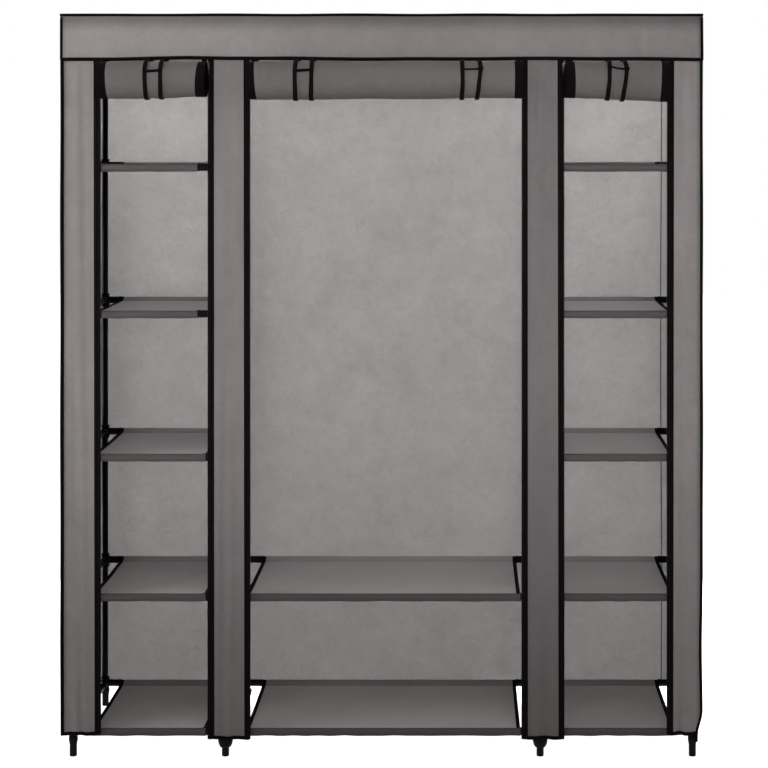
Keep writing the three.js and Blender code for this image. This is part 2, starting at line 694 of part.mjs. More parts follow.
// A tie's ribbon: from the roof seam down behind the door, round the roll and back up in front
function tieLine() {
  const away = (COVER_CLOTH + TIE_THICKNESS) / 2 + FIT_GAP;
  const radius = ROLL_RADIUS + FIT_GAP + TIE_THICKNESS / 2;
  const centre = point(rollY, rollHeight);
  const turn = point(curtainBend.x - away, curtainBend.y);
  const span = turn.distanceTo(centre);
  const rise = Math.atan2(turn.y - centre.y, turn.x - centre.x);
  const touch = rise + Math.acos(radius / span);
  const steps = Math.round(((2 * Math.PI - touch) / (2 * Math.PI)) * 2 * ROLL_STEPS);
  return [
    point(curtainTop.x + away, panelTop),
    point(curtainBend.x + away, curtainBend.y),
    ...arc(centre, radius, 2 * Math.PI, touch, steps),
    turn,
    point(curtainTop.x - away, panelTop),
  ];
}

function tieSolid(x) {
  const outline = stripOutline(tieLine(), TIE_THICKNESS);
  const half = TIE_WIDTH / 2;
  const ribbons = [-TIE_SPACING / 2, TIE_SPACING / 2].map((side) =>
    solidOf(drawn(X, x + side - half, x + side + half, outline)),
  );
  const inside = ROLL_RADIUS + FIT_GAP + TIE_THICKNESS / 2;
  const above = ROLL_RADIUS + ROLL_TOP_CLEARANCE - KNOT_DROP;
  const angle = Math.PI - Math.asin(above / inside);
  const spread = KNOT_HEIGHT / 2 / inside;
  const centre = point(rollY, rollHeight);
  const crossing = arc(centre, inside + KNOT_THICKNESS / 2, angle - spread, angle + spread, 2);
  const knotReach = (TIE_SPACING + TIE_WIDTH) / 2;
  const knot = drawn(X, x - knotReach, x + knotReach, stripOutline(crossing, KNOT_THICKNESS));
  return join([...ribbons, solidOf(knot)]);
}

for (const door of doors) {
  const [low, high] = [door.low - ROLL_OVERHANG, door.high + ROLL_OVERHANG];
  const roll = drawn(X, low, high, stripOutline(wound, COVER_CLOTH));
  addPiece(`door_${door.name}_roll`, roll, coverCloth);
  const inset = sliderInReach + FIT_GAP;
  const cloth = stripOutline([curtainTop, curtainBend, curtainFoot], COVER_CLOTH);
  const curtain = drawn(X, door.low + inset, door.high - inset, cloth);
  addPiece(`door_${door.name}_curtain`, curtain, coverCloth);
  const places = TIE_PLACE_SHARES[door.name];
  places.forEach((share, i) => {
    const tie = tieSolid(door.low + (door.high - door.low) * share);
    addPiece(places.length > 1 ? `tie_${door.name}_${i + 1}` : `tie_${door.name}`, tie, ribbon);
  });
}

// The frame's origin: on the floor, in the middle of the whole footprint
const footprint = new THREE.Box3().setFromObject(wardrobe);
wardrobe.position.y = -(footprint.min.y + footprint.max.y) / 2;
const standing = new THREE.Group();
standing.add(wardrobe);

export default standing;
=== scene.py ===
import math

import bpy
import numpy as np
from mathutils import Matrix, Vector


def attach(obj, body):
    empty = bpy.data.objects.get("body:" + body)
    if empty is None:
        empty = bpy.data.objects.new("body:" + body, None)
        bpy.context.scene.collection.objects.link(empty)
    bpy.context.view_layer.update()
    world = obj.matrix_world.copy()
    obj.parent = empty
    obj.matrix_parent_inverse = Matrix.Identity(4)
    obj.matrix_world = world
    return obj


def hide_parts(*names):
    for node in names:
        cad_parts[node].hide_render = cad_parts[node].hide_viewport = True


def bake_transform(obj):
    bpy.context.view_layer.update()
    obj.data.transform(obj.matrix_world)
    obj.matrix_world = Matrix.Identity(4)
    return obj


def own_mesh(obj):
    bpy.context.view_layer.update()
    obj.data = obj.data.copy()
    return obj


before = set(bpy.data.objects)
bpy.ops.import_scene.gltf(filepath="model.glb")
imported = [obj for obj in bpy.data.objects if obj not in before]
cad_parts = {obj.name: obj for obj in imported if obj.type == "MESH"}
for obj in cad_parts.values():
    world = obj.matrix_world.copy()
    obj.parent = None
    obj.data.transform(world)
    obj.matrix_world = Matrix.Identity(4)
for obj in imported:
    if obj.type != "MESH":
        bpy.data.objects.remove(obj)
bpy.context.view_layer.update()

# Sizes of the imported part
TUBE = 0.0065
FRONT, REAR = -0.158475, 0.253525
MIDDLE_Y = (FRONT + REAR) / 2
OUTER, INNER = 0.724, 0.368
TIERS = [0.057, 0.3715, 0.6985, 1.0335, 1.3765]
MIDDLE_TIERS = 2
TOP = 1.7235
CLEARANCE = 0.0003
COLLAR, ARM = 0.0103, 0.0095
# Where arms and tubes start, and how far the arms reach, from a corner post's axis
ARM_START, TUBE_START = 0.004, 0.011
OUTER_REACH, INNER_REACH, DEPTH_REACH = 0.04, 0.046, 0.042
ROOF, PIPING = 1.7349, 0.0037
HEADER, HEM = 1.7272, 1.6259
OUTER_HEM, INNER_HEM = 0.053, 0.043
# The cover: its half width, and the planes of the front strips, the back and the sides
EDGE = 0.7423
STILE_Y, BACK_Y, SIDE_X = -0.173475, 0.2703, 0.7476
SIDE_FRONT, SIDE_REAR = -0.1695, 0.2665
ROOF_HALF, ROOF_FRONT, ROOF_REAR, ROOF_Z = 0.7428, -0.1705, 0.2655, 1.7341
VALANCE_LEFT, VALANCE_RIGHT, VALANCE_Y = -0.7482, 0.744, -0.1754
# Where the piping's seams run, and the side panels' hems
ROOF_SEAM_Y, FRONT_SEAM_Y, REAR_SEAM_Y = -0.173775, -0.171875, 0.268825
SEAM_X, SIDE_HEM_X, PIPING_Z = 0.7463, 0.7462, ROOF - PIPING
# Where two thin dark strips run down the inside of the back
BACK_STRIPS = (-0.7345, 0.694)
# Each zip's X, and the side of it on which the front strip lies
ZIPS = {
    "left_outer": (-0.657, -1), "left_inner": (-0.4075, 1),
    "middle_left": (-0.3085, -1), "middle_right": (0.3245, 1),
    "right_inner": (0.4235, -1), "right_outer": (0.663, 1),
}
SLIDER_TOP = 1.6214
ROLL_Y, ROLL_Z, ROLL_RADIUS, ROLL_CORE = -0.226275, 1.5799, 0.045, 0.008
# The middle of a roll's cloth at its outermost turn, and how far apart its turns are
ROLL_OUT = ROLL_RADIUS - 0.0008
ROLL_PITCH = math.pi * (ROLL_RADIUS**2 - ROLL_CORE**2) / (ROLL_Z - OUTER_HEM)
# Each door's zips, and where its ties are as shares of its width
DOORS = {
    "left": ("left_outer", "left_inner", [0.55]),
    "middle": ("middle_left", "middle_right", [0.21, 0.81]),
    "right": ("right_inner", "right_outer", [0.475]),
}
CLOTH = 0.0009
# Each zip tape's width at its bottom and top
TAPES = {
    "left_outer": (0.014, 0.0168), "left_inner": (0.0155, 0.0145),
    "middle_left": (0.0135, 0.0158), "middle_right": (0.0145, 0.014),
    "right_inner": (0.013, 0.0158), "right_outer": (0.0145, 0.017),
}
DOOR_TAPE = 0.0143


# Materials
class Tree:
    """A node tree, written as nested calls."""

    def __init__(self, owner):
        owner.use_nodes = True
        self.nodes = owner.node_tree.nodes
        self.links = owner.node_tree.links

    def feed(self, socket, value):
        if isinstance(value, bpy.types.NodeSocket):
            self.links.new(value, socket)
        else:
            socket.default_value = value

    def node(self, kind, out=0, inputs=None, **settings):
        made = self.nodes.new("ShaderNode" + kind)
        for key, value in settings.items():
            setattr(made, key, value)
        for key, value in (inputs or {}).items():
            self.feed(made.inputs[key], value)
        return made.outputs[out]

    def maths(self, operation, a, b):
        return self.node("Math", 0, {0: a, 1: b}, operation=operation)

    def seen(self):
        """1 where a ray comes straight from the camera, or by a reflection or through glass"""
        rays = self.node("LightPath").node.outputs
        either = self.maths("MAXIMUM", rays["Is Camera Ray"], rays["Is Glossy Ray"])
        return self.maths("MAXIMUM", either, rays["Is Transmission Ray"])


class Shader(Tree):
    """A node material"""

    def __init__(self, name):
        self.material = bpy.data.materials.new(name)
        super().__init__(self.material)

    def place(self, kind="Object", scale=(1, 1, 1)):
        where = self.node("TexCoord", kind)
        return self.node("Mapping", inputs={"Vector": where, "Scale": scale})

    def noise(self, where, scale, detail, rough, warp=0.0):
        return self.node("TexNoise", "Fac", {
            "Vector": where, "Scale": scale, "Detail": detail, "Roughness": rough,
            "Distortion": warp,
        })

    def spread(self, value, start, end, low, high, **settings):
        """value's start..end as low..high"""
        return self.node("MapRange", "Result", {
            "Value": value, "From Min": start, "From Max": end, "To Min": low, "To Max": high,
        }, **settings)

    def around(self, value, middle, reach):
        return self.spread(value, 0.25, 0.75, middle - reach, middle + reach)

    def shade(self, colour, share):
        """colour times share"""
        grey = self.node("CombineXYZ", 0, {"X": share, "Y": share, "Z": share})
        return self.node("VectorMath", 0, {0: colour, 1: grey}, operation="MULTIPLY")

    def bump(self, height, distance, strength, normal=None):
        inputs = {"Height": height, "Distance": distance, "Strength": strength}
        if normal is not None:
            inputs["Normal"] = normal
        return self.node("Bump", "Normal", inputs)

    def set(self, **inputs):
        surface = self.nodes["Principled BSDF"]
        for key, value in inputs.items():
            self.feed(surface.inputs[key.replace("_", " ")], value)
        return self.material


def nonwoven(name, colour, cloud=0.07, fibre=0.06, sheen=0.06, creases=0.0, thin=0.7, painted_fades=()):
    """Point-bonded nonwoven cloth: cloudy fibre density, fine fibres and a bonded grain.
    Each fade (axis, start, end, share) is painted shade: along its axis the colour falls from full
    at start to share times at end."""
    s = Shader(name)
    flat = s.place()
    clouds = s.noise(flat, 9, 6, 0.62, 0.4)
    patches = s.noise(flat, 42, 5, 0.6, 0.8)
    fibres = s.noise(s.place(scale=(1, 1, 0.35)), 420, 3, 0.7, 1.2)
    dots = s.node("TexVoronoi", "Distance", {"Vector": flat, "Scale": 520.0, "Randomness": 0.35})
    share = s.maths("ADD", s.around(clouds, 1.0, cloud), s.around(patches, 0.0, cloud * 0.75))
    share = s.maths("ADD", share, s.around(fibres, 0.0, fibre))
    share = s.maths("ADD", share, s.spread(dots, 0.0, 0.6, -0.05, 0.02))
    if painted_fades:
        place = s.node("SeparateXYZ", 0, {"Vector": s.node("TexCoord", "Object")}).node.outputs
    # Painted shade: each fade darkens the cloth's colour along its axis
    for axis, start, end, low in painted_fades:
        fade = s.spread(place[axis], start, end, 1.0, low, interpolation_type="SMOOTHSTEP")
        share = s.maths("MULTIPLY", share, fade)
    rough = s.around(patches, 0.82, 0.06)
    normal = s.bump(s.noise(flat, 26, 5, 0.55, 1.5), 0.0022 + creases, 0.55)
    normal = s.bump(fibres, 0.0002, 0.5, normal)
    normal = s.bump(dots, 0.00022, 0.45, normal)
    return s.set(
        Base_Color=s.shade(colour, share), Roughness=rough, Normal=normal,
        Sheen_Weight=sheen, Sheen_Roughness=0.45, Specular_IOR_Level=0.2,
        Subsurface_Weight=thin, Subsurface_Radius=(1.0, 1.0, 1.0), Subsurface_Scale=0.004,
    )


def tape(name, colour, rib=900.0, rough=0.72):
    """Woven tape: fine ribs across it, a slant weave and lint"""
    s = Shader(name)
    flat = s.place("UV")
    ribs = s.node("TexWave", "Fac", {
        "Vector": flat, "Scale": rib / math.pi, "Distortion": 0.6, "Detail": 1.0,
        "Detail Scale": 2.0}, bands_direction="Y")
    slant = s.node("TexWave", "Fac", {
        "Vector": flat, "Scale": rib / math.tau, "Distortion": 0.4}, bands_direction="DIAGONAL")
    lint = s.noise(s.place(), 260, 4, 0.7)
    share = s.maths("ADD", s.around(lint, 1.0, 0.35), s.around(ribs, 0.0, 0.12))
    normal = s.bump(ribs, 0.00018, 0.7)
    normal = s.bump(slant, 0.00012, 0.5, normal)
    return s.set(
        Base_Color=s.shade(colour, share), Roughness=s.around(lint, rough, 0.08), Normal=normal,
        Specular_IOR_Level=0.025,
    )


def coated(name, colour, rough, grain=900.0, wear=0.25, shine=0.06):
    """Powder-coated steel or moulded plastic: fine orange peel and rubbed places"""
    s = Shader(name)
    where = s.place()
    peel = s.noise(where, grain, 3, 0.5)
    rub = s.noise(where, 34, 6, 0.7, 0.6)
    return s.set(
        Base_Color=s.shade(colour, s.around(rub, 1.0, wear)), Roughness=s.around(rub, rough, 0.09),
        Normal=s.bump(peel, 0.00012, 0.35), Specular_IOR_Level=shine,
    )


COVER_COLOUR = (0.233, 0.211, 0.211)
COVER = nonwoven("cover_nonwoven", COVER_COLOUR)
# Painted shade: the rolls' cloth is the cover's, painted about half as light for the shade on the
# rolls
ROLLED_SHADED = nonwoven("rolled_painted_shade_nonwoven", (0.113, 0.102, 0.101), thin=0.0)
BACK = nonwoven("back_nonwoven", (0.119, 0.108, 0.1065), cloud=0.13, fibre=0.08, creases=0.001)
# Painted light: the shelves' cloth is the cover's, painted lighter for the light that falls on
# their tops
SHELF_LIT = nonwoven("shelf_painted_light_nonwoven", (0.427, 0.389, 0.389), cloud=0.05, sheen=0.45)
# Painted shade: the front sleeves' cloth is the shelves', painted dark for the shade on the
# shelves' front lips
SLEEVE_SHADED = nonwoven("sleeve_painted_shade_nonwoven", (0.07, 0.064, 0.064), cloud=0.05, thin=0.0)
DOUBLED = nonwoven("doubled_nonwoven", (0.4, 0.365, 0.365), cloud=0.05, thin=0.0)
# Painted shade on the valance: darker under the top piping, towards its middle and right, and at
# both ends, and a little darker towards the hem
VALANCE = nonwoven("valance_painted_shade_nonwoven", (0.268, 0.242, 0.242), painted_fades=(
    ("Z", 1.686, 1.7285, 0.52), ("X", -0.42, -0.02, 0.82), ("X", 0.731, 0.7445, 0.5),
    ("X", -0.737, -0.7445, 0.75), ("Z", 1.66, 1.632, 0.94)))
BINDING = tape("binding_tape", (0.0034, 0.0024, 0.0026))
ZIP_TAPE = tape("zip_tape_weave", (0.0036, 0.0025, 0.0027), rib=1250.0)
RIBBON = tape("tie_ribbon_weave", (0.004, 0.0029, 0.0031), rib=700.0, rough=0.65)
DARK_THREAD = tape("dark_thread", (0.03, 0.028, 0.028), rib=2600.0, rough=0.6)
COIL = coated("zip_coil_nylon", (0.004, 0.0032, 0.0034), rough=0.35, grain=2400.0, wear=0.2)
STEEL = coated("black_powder_coat", (0.0042, 0.0032, 0.0034), rough=0.5)
PLASTIC = coated("moulded_connector", (0.0038, 0.0028, 0.003), rough=0.58, grain=1500.0)
LACQUER = coated("zip_lacquer", (0.007, 0.006, 0.006), rough=0.3, grain=2000.0, shine=0.35)


# Mesh making
def mesh_of(name, verts, faces, materials, uvs=None, indices=None, smooth=True):
    data = bpy.data.meshes.new(name)
    data.from_pydata([tuple(v) for v in verts], [], faces)
    for material in materials:
        data.materials.append(material)
    if indices is not None:
        data.polygons.foreach_set("material_index", np.asarray(indices, dtype=np.int32))
    data.polygons.foreach_set("use_smooth", [smooth] * len(data.polygons))
    if uvs is not None:
        layer = data.uv_layers.new(name="flat")
        loops = np.zeros(len(data.loops), dtype=np.int32)
        data.loops.foreach_get("vertex_index", loops)
        layer.data.foreach_set("uv", np.asarray(uvs, float)[loops].ravel())
    data.update()
    piece = bpy.data.objects.new(name, data)
    bpy.context.scene.collection.objects.link(piece)
    return piece


def fit(piece, slot, *nodes, body="frame"):
    """Hides the nodes that a piece replaces and attaches it to the body that it rides; slot is not
    used
    """
    if nodes:
        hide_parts(*nodes)
    if body:
        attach(piece, body)


def waves(seed, u, v, wave_u, wave_v, count=9):
    """Smooth unevenness over u and v, about -1 to 1"""
    rng = np.random.default_rng(seed)
    total = 0.0
    for _ in range(count):
        ku = 2 * math.pi / wave_u * rng.uniform(0.5, 1.6)
        kv = 2 * math.pi / wave_v * rng.uniform(-1.2, 1.2)
        total = total + np.sin(ku * u + kv * v + rng.uniform(0, 2 * math.pi))
    return total / math.sqrt(count)


def ease(t):
    """A smooth step from 0 to 1"""
    t = np.clip(t, 0, 1)
    return t * t * (3 - 2 * t)


def hump(t):
    """Half a wave over 0 to 1, and 0 outside"""
    return np.sin(np.pi * np.clip(t, 0, 1))


def lengths(grid, axis):
    """How far each point is from its line's first one, along the line"""
    steps = np.linalg.norm(np.diff(grid, axis=axis), axis=2)
    first = np.zeros_like(np.take(steps, [0], axis=axis))
    return np.cumsum(np.concatenate([first, steps], axis=axis), axis=axis)


def shell(name, grid, thickness, materials, pick=None):
    """A sheet with a thickness round a grid (rows, columns, 3) of its middle. pick gives the
    material of each cell."""
    grid = np.asarray(grid, float)
    rows, cols = grid.shape[:2]
    normal = np.cross(np.gradient(grid, axis=1), np.gradient(grid, axis=0))
    normal /= np.maximum(np.linalg.norm(normal, axis=2, keepdims=True), 1e-12)
    verts = np.concatenate([
        (grid + normal * thickness / 2).reshape(-1, 3),
        (grid - normal * thickness / 2).reshape(-1, 3),
    ])
    uv = np.stack([lengths(grid, 1), lengths(grid, 0)], axis=2).reshape(-1, 2)
    size = rows * cols
    i, j = np.indices((rows - 1, cols - 1)).reshape(2, -1)
    a = i * cols + j
    b, c, d = a + 1, a + cols + 1, a + cols
    faces = [np.stack([a, b, c, d], 1), np.stack([a + size, d + size, c + size, b + size], 1)]
    chosen = np.array([pick(x, y) for x, y in zip(i, j)]) if pick else np.zeros(len(a), int)
    kinds = [chosen, chosen]
    chosen = chosen.reshape(rows - 1, cols - 1)
    across, down = np.arange(cols - 1), np.arange(rows - 1) * cols
    bottom = across + (rows - 1) * cols
    for first, last, cells in (
            (down + cols, down, chosen[:, 0]),
            (down + cols - 1, down + 2 * cols - 1, chosen[:, -1]),
            (across + 1, across, chosen[0]), (bottom, bottom + 1, chosen[-1])):
        faces.append(np.stack([first, last, last + size, first + size], 1))
        kinds.append(cells)
    return mesh_of(name, verts, np.concatenate(faces).tolist(), materials,
                   np.concatenate([uv, uv]), np.concatenate(kinds))


def tube_faces(rows, sides, base=0):
    """Quads between rings of points, and a cap at each end. base is the first point's number."""
    faces = []
    for i in range(rows - 1):
        for j in range(sides):
            k = (j + 1) % sides
            faces.append((i * sides + j, i * sides + k, (i + 1) * sides + k, (i + 1) * sides + j))
    faces.append(tuple(range(sides))[::-1])
    faces.append(tuple(range((rows - 1) * sides, rows * sides)))
    return [tuple(base + point for point in face) for face in faces]


def sweep(name, path, radii, material, sides, flat, up):
    """A tube along a path, with a radius for each point, and flat times as thick across up"""
    path = np.asarray(path, float)
    radii = np.broadcast_to(radii, len(path))
    tangent = np.gradient(path, axis=0)
    tangent /= np.linalg.norm(tangent, axis=1, keepdims=True)
    side = np.cross(tangent, np.broadcast_to(up, tangent.shape))
    side /= np.linalg.norm(side, axis=1, keepdims=True)
    over = np.cross(side, tangent)
    turn = np.linspace(0, 2 * math.pi, sides, endpoint=False)
    ring = (side[:, None] * np.cos(turn)[None, :, None]
            + over[:, None] * np.sin(turn)[None, :, None] * flat)
    grid = path[:, None] + ring * radii[:, None, None]
    run = lengths(path[None], 1)[0]
    uv = np.stack(np.broadcast_arrays(turn[None] * float(radii.mean()), run[:, None]), 2)
    return mesh_of(name, grid.reshape(-1, 3), tube_faces(len(path), sides), [material],
                   uv.reshape(-1, 2))


def joined(name, parts):
    """One piece from several, with their materials"""
    verts, faces, uvs, kinds, materials = [], [], [], [], []
    for part in parts:
        data = part.data
        base = len(verts)
        verts.extend(tuple(v.co) for v in data.vertices)
        slots = []
        for material in data.materials:
            if material not in materials:
                materials.append(material)
            slots.append(materials.index(material))
        layer = data.uv_layers[0].data
        flat = [(0.0, 0.0)] * len(data.vertices)
        for poly in data.polygons:
            faces.append([base + v for v in poly.vertices])
            kinds.append(slots[poly.material_index])
            for loop in poly.loop_indices:
                flat[data.loops[loop].vertex_index] = tuple(layer[loop].uv)
        uvs.extend(flat)
        bpy.data.objects.remove(part)
        bpy.data.meshes.remove(data)
    return mesh_of(name, verts, faces, materials, uvs, kinds)


AXES = {"X": np.eye(3)[[0, 1, 2]], "Y": np.eye(3)[[1, 2, 0]], "Z": np.eye(3)[[2, 0, 1]]}


def turned(axis, place, profile, material, sides=28):
    """A lathed solid round an axis: profile is (along, radius) from end to end"""
    basis = AXES[axis]
    verts, uvs = [], []
    for along, radius in profile:
        for k in range(sides):
            angle = 2 * math.pi * k / sides
            point = (along * basis[0] + radius * math.cos(angle) * basis[1]
                     + radius * math.sin(angle) * basis[2])
            verts.append(np.asarray(place) + point)
            uvs.append((angle * radius, along))
    made = mesh_of("turned", verts, tube_faces(len(profile), sides), [material], uvs)
    made.data.set_sharp_from_angle(angle=math.radians(38))
    return made


def rod(axis, low, high, place, radius=TUBE, material=STEEL, sides=24):
    """A bar with eased ends"""
    e = min(0.0006, radius * 0.2)
    return turned(axis, place, [
        (low, radius - e), (low + e, radius), (high - e, radius), (high, radius - e),
    ], material, sides)


def moulded(axis, low, high, place, radius):
    """A moulded sleeve with a thicker rim at each end and a drafted waist"""
    rim, lip, soft = 0.0007, 0.0042, 0.0006
    end = [(0, radius - rim), (soft, radius), (lip, radius), (lip + soft, radius - rim)]
    return turned(axis, place, [
        *[(low + along, out) for along, out in end], ((low + high) / 2, radius - rim * 1.5),
        *[(high - along, out) for along, out in end[::-1]],
    ], PLASTIC)


def stitches(path, pitch=0.0042, length=0.0028, lift=(0, -1, 0)):
    """A row of stitches along a path, each a small raised thread"""
    width, rise, root = 0.0005, 0.00035, 0.0003
    path = np.asarray(path, float)
    run = lengths(path[None], 1)[0]
    count = int(run[-1] / pitch)
    verts, faces, uvs = [], [], []
    lift = np.asarray(lift, float)
    for n in range(count):
        at = (n + 0.5) * pitch
        ends = [np.array([np.interp(s, run, path[:, k]) for k in range(3)])
                for s in (at - length / 2, at, at + length / 2)]
        along = ends[2] - ends[0]
        across = np.cross(along, lift)
        across *= width / 2 / max(np.linalg.norm(across), 1e-9)
        base = len(verts)
        for end, high in zip(ends, (0.0, rise, 0.0)):
            verts += [end - across, end + lift * high, end + across, end - lift * root]
            uvs += [(0, at)] * 4
        faces += tube_faces(3, 4, base)
    return mesh_of("row", verts, faces, [DARK_THREAD], uvs)


# Steel frame
def post(name, x, y, outer):
    """An upright with its foot. An outer foot has straight flanks, an inner one a rounded flare."""
    foot_top = TIERS[0] - 0.0163
    wide, straight = (0.011, 0.026) if outer else (0.0175, 0.02)
    stub = 0.0085
    flare = []
    for i in range(9):
        t = i / 8
        out = t if outer else math.sin(t * math.pi / 2)
        up = t if outer else 1 - math.cos(t * math.pi / 2)
        flare.append((straight + (foot_top - straight) * up, stub + (wide - stub) * out))
    foot = turned("Z", (x, y, 0), [
        (0, stub - 0.0008), (0.0008, stub), (straight - 0.001, stub), *flare,
        (foot_top + 0.0006, wide - 0.0008), (foot_top + 0.0008, TUBE),
    ], PLASTIC, 32)
    tube = rod("Z", foot_top, TOP - CLEARANCE, (x, y, 0))
    return joined(name, [foot, tube])


SIDES = {"left": -1, "right": 1}
ROWS = {"front": FRONT, "rear": REAR}
for row, y in ROWS.items():
    for side, sign in SIDES.items():
        for column, x in (("outer", OUTER), ("inner", INNER)):
            node = f"post_{row}_{side}_{column}"
            fit(post(f"{node}_steel", sign * x, y, column == "outer"), "tube_steel", node)


def along_x(x, towards, reach):
    return sorted((x, x + towards * reach))


def arms(sign, y, z, inner_reach=INNER_REACH, middle=True):
    """The connectors' arms along X at one side's outer and inner post"""
    spans = [along_x(sign * OUTER, -sign, OUTER_REACH), along_x(sign * INNER, sign, inner_reach)]
    if middle:
        spans.append(along_x(sign * INNER, -sign, INNER_REACH))
    return [moulded("X", low, high, (0, y, z), ARM) for low, high in spans]


def depth_side(x, z, below, above):
    """A tube from front to rear with its arms, and the collars round the two posts"""
    place = (x, 0, z)
    return [
        rod("Y", FRONT + TUBE_START, REAR - TUBE_START, place),
        moulded("Y", FRONT + ARM_START, FRONT + DEPTH_REACH, place, ARM),
        moulded("Y", REAR - DEPTH_REACH, REAR - ARM_START, place, ARM),
        *[moulded("Z", z - below, z + above, (x, y, 0), COLLAR) for y in ROWS.values()],
    ]


# Half a tier's collar, and how much longer the front inner arm is on the upper left tiers
COLLAR_HALF, LONG_ARM = 0.016, 0.019
for side, sign in SIDES.items():
    for tier, z in enumerate(TIERS):
        parts = []
        low, high = sorted((sign * INNER, sign * OUTER))
        for y in ROWS.values():
            parts.append(rod("X", low + TUBE_START, high - TUBE_START, (0, y, z)))
            longer = LONG_ARM if side == "left" and tier > 2 and y == FRONT else 0
            parts += arms(sign, y, z, INNER_REACH + longer, tier < MIDDLE_TIERS)
        for x in (sign * INNER, sign * OUTER):
            parts += depth_side(x, z, COLLAR_HALF, COLLAR_HALF)
        node = f"shelf_frame_{side}_{tier + 1}"
        fit(joined(f"{node}_ring", parts), "frame_connector", node)

# The top ring, with a saddle on each inner depth tube for the hanging rail
SADDLE_HALF, SADDLE_REACH = 0.022, 0.034
parts = []
for y in ROWS.values():
    parts.append(rod("X", -OUTER + TUBE_START, OUTER - TUBE_START, (0, y, TOP)))
    for sign in SIDES.values():
        parts += arms(sign, y, TOP)
for sign in SIDES.values():
    for x in (sign * INNER, sign * OUTER):
        parts += depth_side(x, TOP, 2 * COLLAR_HALF, TUBE)
    parts.append(moulded("Y", MIDDLE_Y - SADDLE_HALF, MIDDLE_Y + SADDLE_HALF,
                         (sign * INNER, 0, TOP), ARM))
    low, high = along_x(sign * INNER, -sign, SADDLE_REACH)
    parts.append(moulded("X", low, high, (0, MIDDLE_Y, TOP), ARM))
fit(joined("top_frame_ring", parts), "frame_connector", "top_frame")


def middle_tube(node, y, z):
    """A loose tube between the collars of the two inner posts"""
    half = INNER - COLLAR - CLEARANCE
    tube = rod("X", -half, half, (0, y, z))
    tube.name = f"{node}_steel"
    fit(tube, "tube_steel", node)


for row, y in ROWS.items():
    for tier in range(MIDDLE_TIERS):
        middle_tube(f"middle_tube_{row}_{tier + 1}", y, TIERS[tier])
middle_tube("hanging_rail", MIDDLE_Y, TOP)


SLEEVE_RADIUS = TUBE + CLEARANCE + CLOTH / 2
SHELF_SEAM = 0.024


def round_tube(y, z, start, end, count):
    """The cloth's middle round a tube, between two angles in degrees"""
    angles = [math.radians(start + (end - start) * k / count) for k in range(count + 1)]
    return [(y + SLEEVE_RADIUS * math.cos(a), z + SLEEVE_RADIUS * math.sin(a)) for a in angles]


def shelf_line(z):
    """A shelf's middle in Y and Z, from the front sleeve's hem to the rear sleeve's; the first
    and last rows of the web between the sleeves; and the rows that the edge binding covers"""
    slack = 0.0022
    slope = [(0.01, 0.0042), (0.017, 0.0018), (0.022, 0.0003)]
    start, end = FRONT + SHELF_SEAM, REAR - SHELF_SEAM
    line = [(start, z - 0.0025), (FRONT + 0.015, z - 0.0033)]
    line += round_tube(FRONT, z - slack, -25, -180, 12)
    line += round_tube(FRONT, z, 180, 68, 10)
    bound = len(line) - 3
    line += [(FRONT + out, z + up) for out, up in slope]
    first = len(line)
    line += [(y, z - 0.0011) for y in np.linspace(start + 0.001, end - 0.001, 44)]
    last = len(line)
    line += [(REAR - out, z + up) for out, up in slope[::-1]]
    bound = slice(bound, len(line) + 2)
    line += round_tube(REAR, z, 112, 0, 10)
    line += round_tube(REAR, z - slack, 0, -155, 12)
    line += [(REAR - 0.015, z - 0.0033), (end, z - 0.0025)]
    return np.array(line), first, last, bound


def edge_binding(edge, inward):
    """Black tape over one end of a shelf. inward is its width, with its direction as the sign."""
    edge = edge + [0, 0, 0.0002]
    band = np.stack([edge + [inward * t, 0, 0.0004] for t in (-0.06, 0.3, 0.65, 1.0)], 1)
    if inward < 0:
        band = band[:, ::-1]
    return shell("band", band, 0.0012, [BINDING])


def shelf(node, low, high, z, seed, bare=0.0):
    """Cloth sewn into a sleeve round each tube, with the web between the sleeves. bare is how
    much further than usual the front sleeve stops before the inner connector."""
    name = f"{node}_cloth"
    line, first, last, bound = shelf_line(z)
    x = np.linspace(low, high, max(24, int((high - low) / 0.012)))[None]
    y = line[:, 0, None]
    row = np.arange(len(line))[:, None]
    width = (x - low) / (high - low)
    hollow = hump((row - first) / (last - 1 - first)) ** 1.5
    sag = 0.0024 + 0.001 * waves(seed, x, y, 0.11, 0.2)
    lips = line[:, 1, None] < z - 0.0045
    heights = (line[:, 1, None] - hollow * sag * (0.5 + 0.5 * hump(width))
               - lips * 0.0006 * (1 + waves(seed + 1, x, y, 0.09, 1.0)))
    across = x - bare * ease((first + 4 - row) / 5) * width
    grid = np.stack(np.broadcast_arrays(across, y, heights), 2)
    # The front sleeve takes the cloth painted dark for its shade, the rear sleeve the doubled cloth
    made = shell(name, grid, CLOTH, [SHELF_LIT, SLEEVE_SHADED, DOUBLED],
                 lambda i, j: 1 if i < first else 2 if i >= last - 1 else 0)
    binding = joined(f"{name}_binding", [
        edge_binding(grid[bound, 0], 0.0085), edge_binding(grid[bound, -1], -0.0085)])
    rows = [stitches(grid[k] + [0, 0, CLOTH / 2 + 0.0001], lift=(0, 0, 1))
            for k in (first - 1, last)]
    seam_rows = joined(f"{name}_seam", rows)
    fit(made, "shelf_cloth", node)
    fit(binding, "tie_ribbon")
    fit(seam_rows, "shelf_cloth")


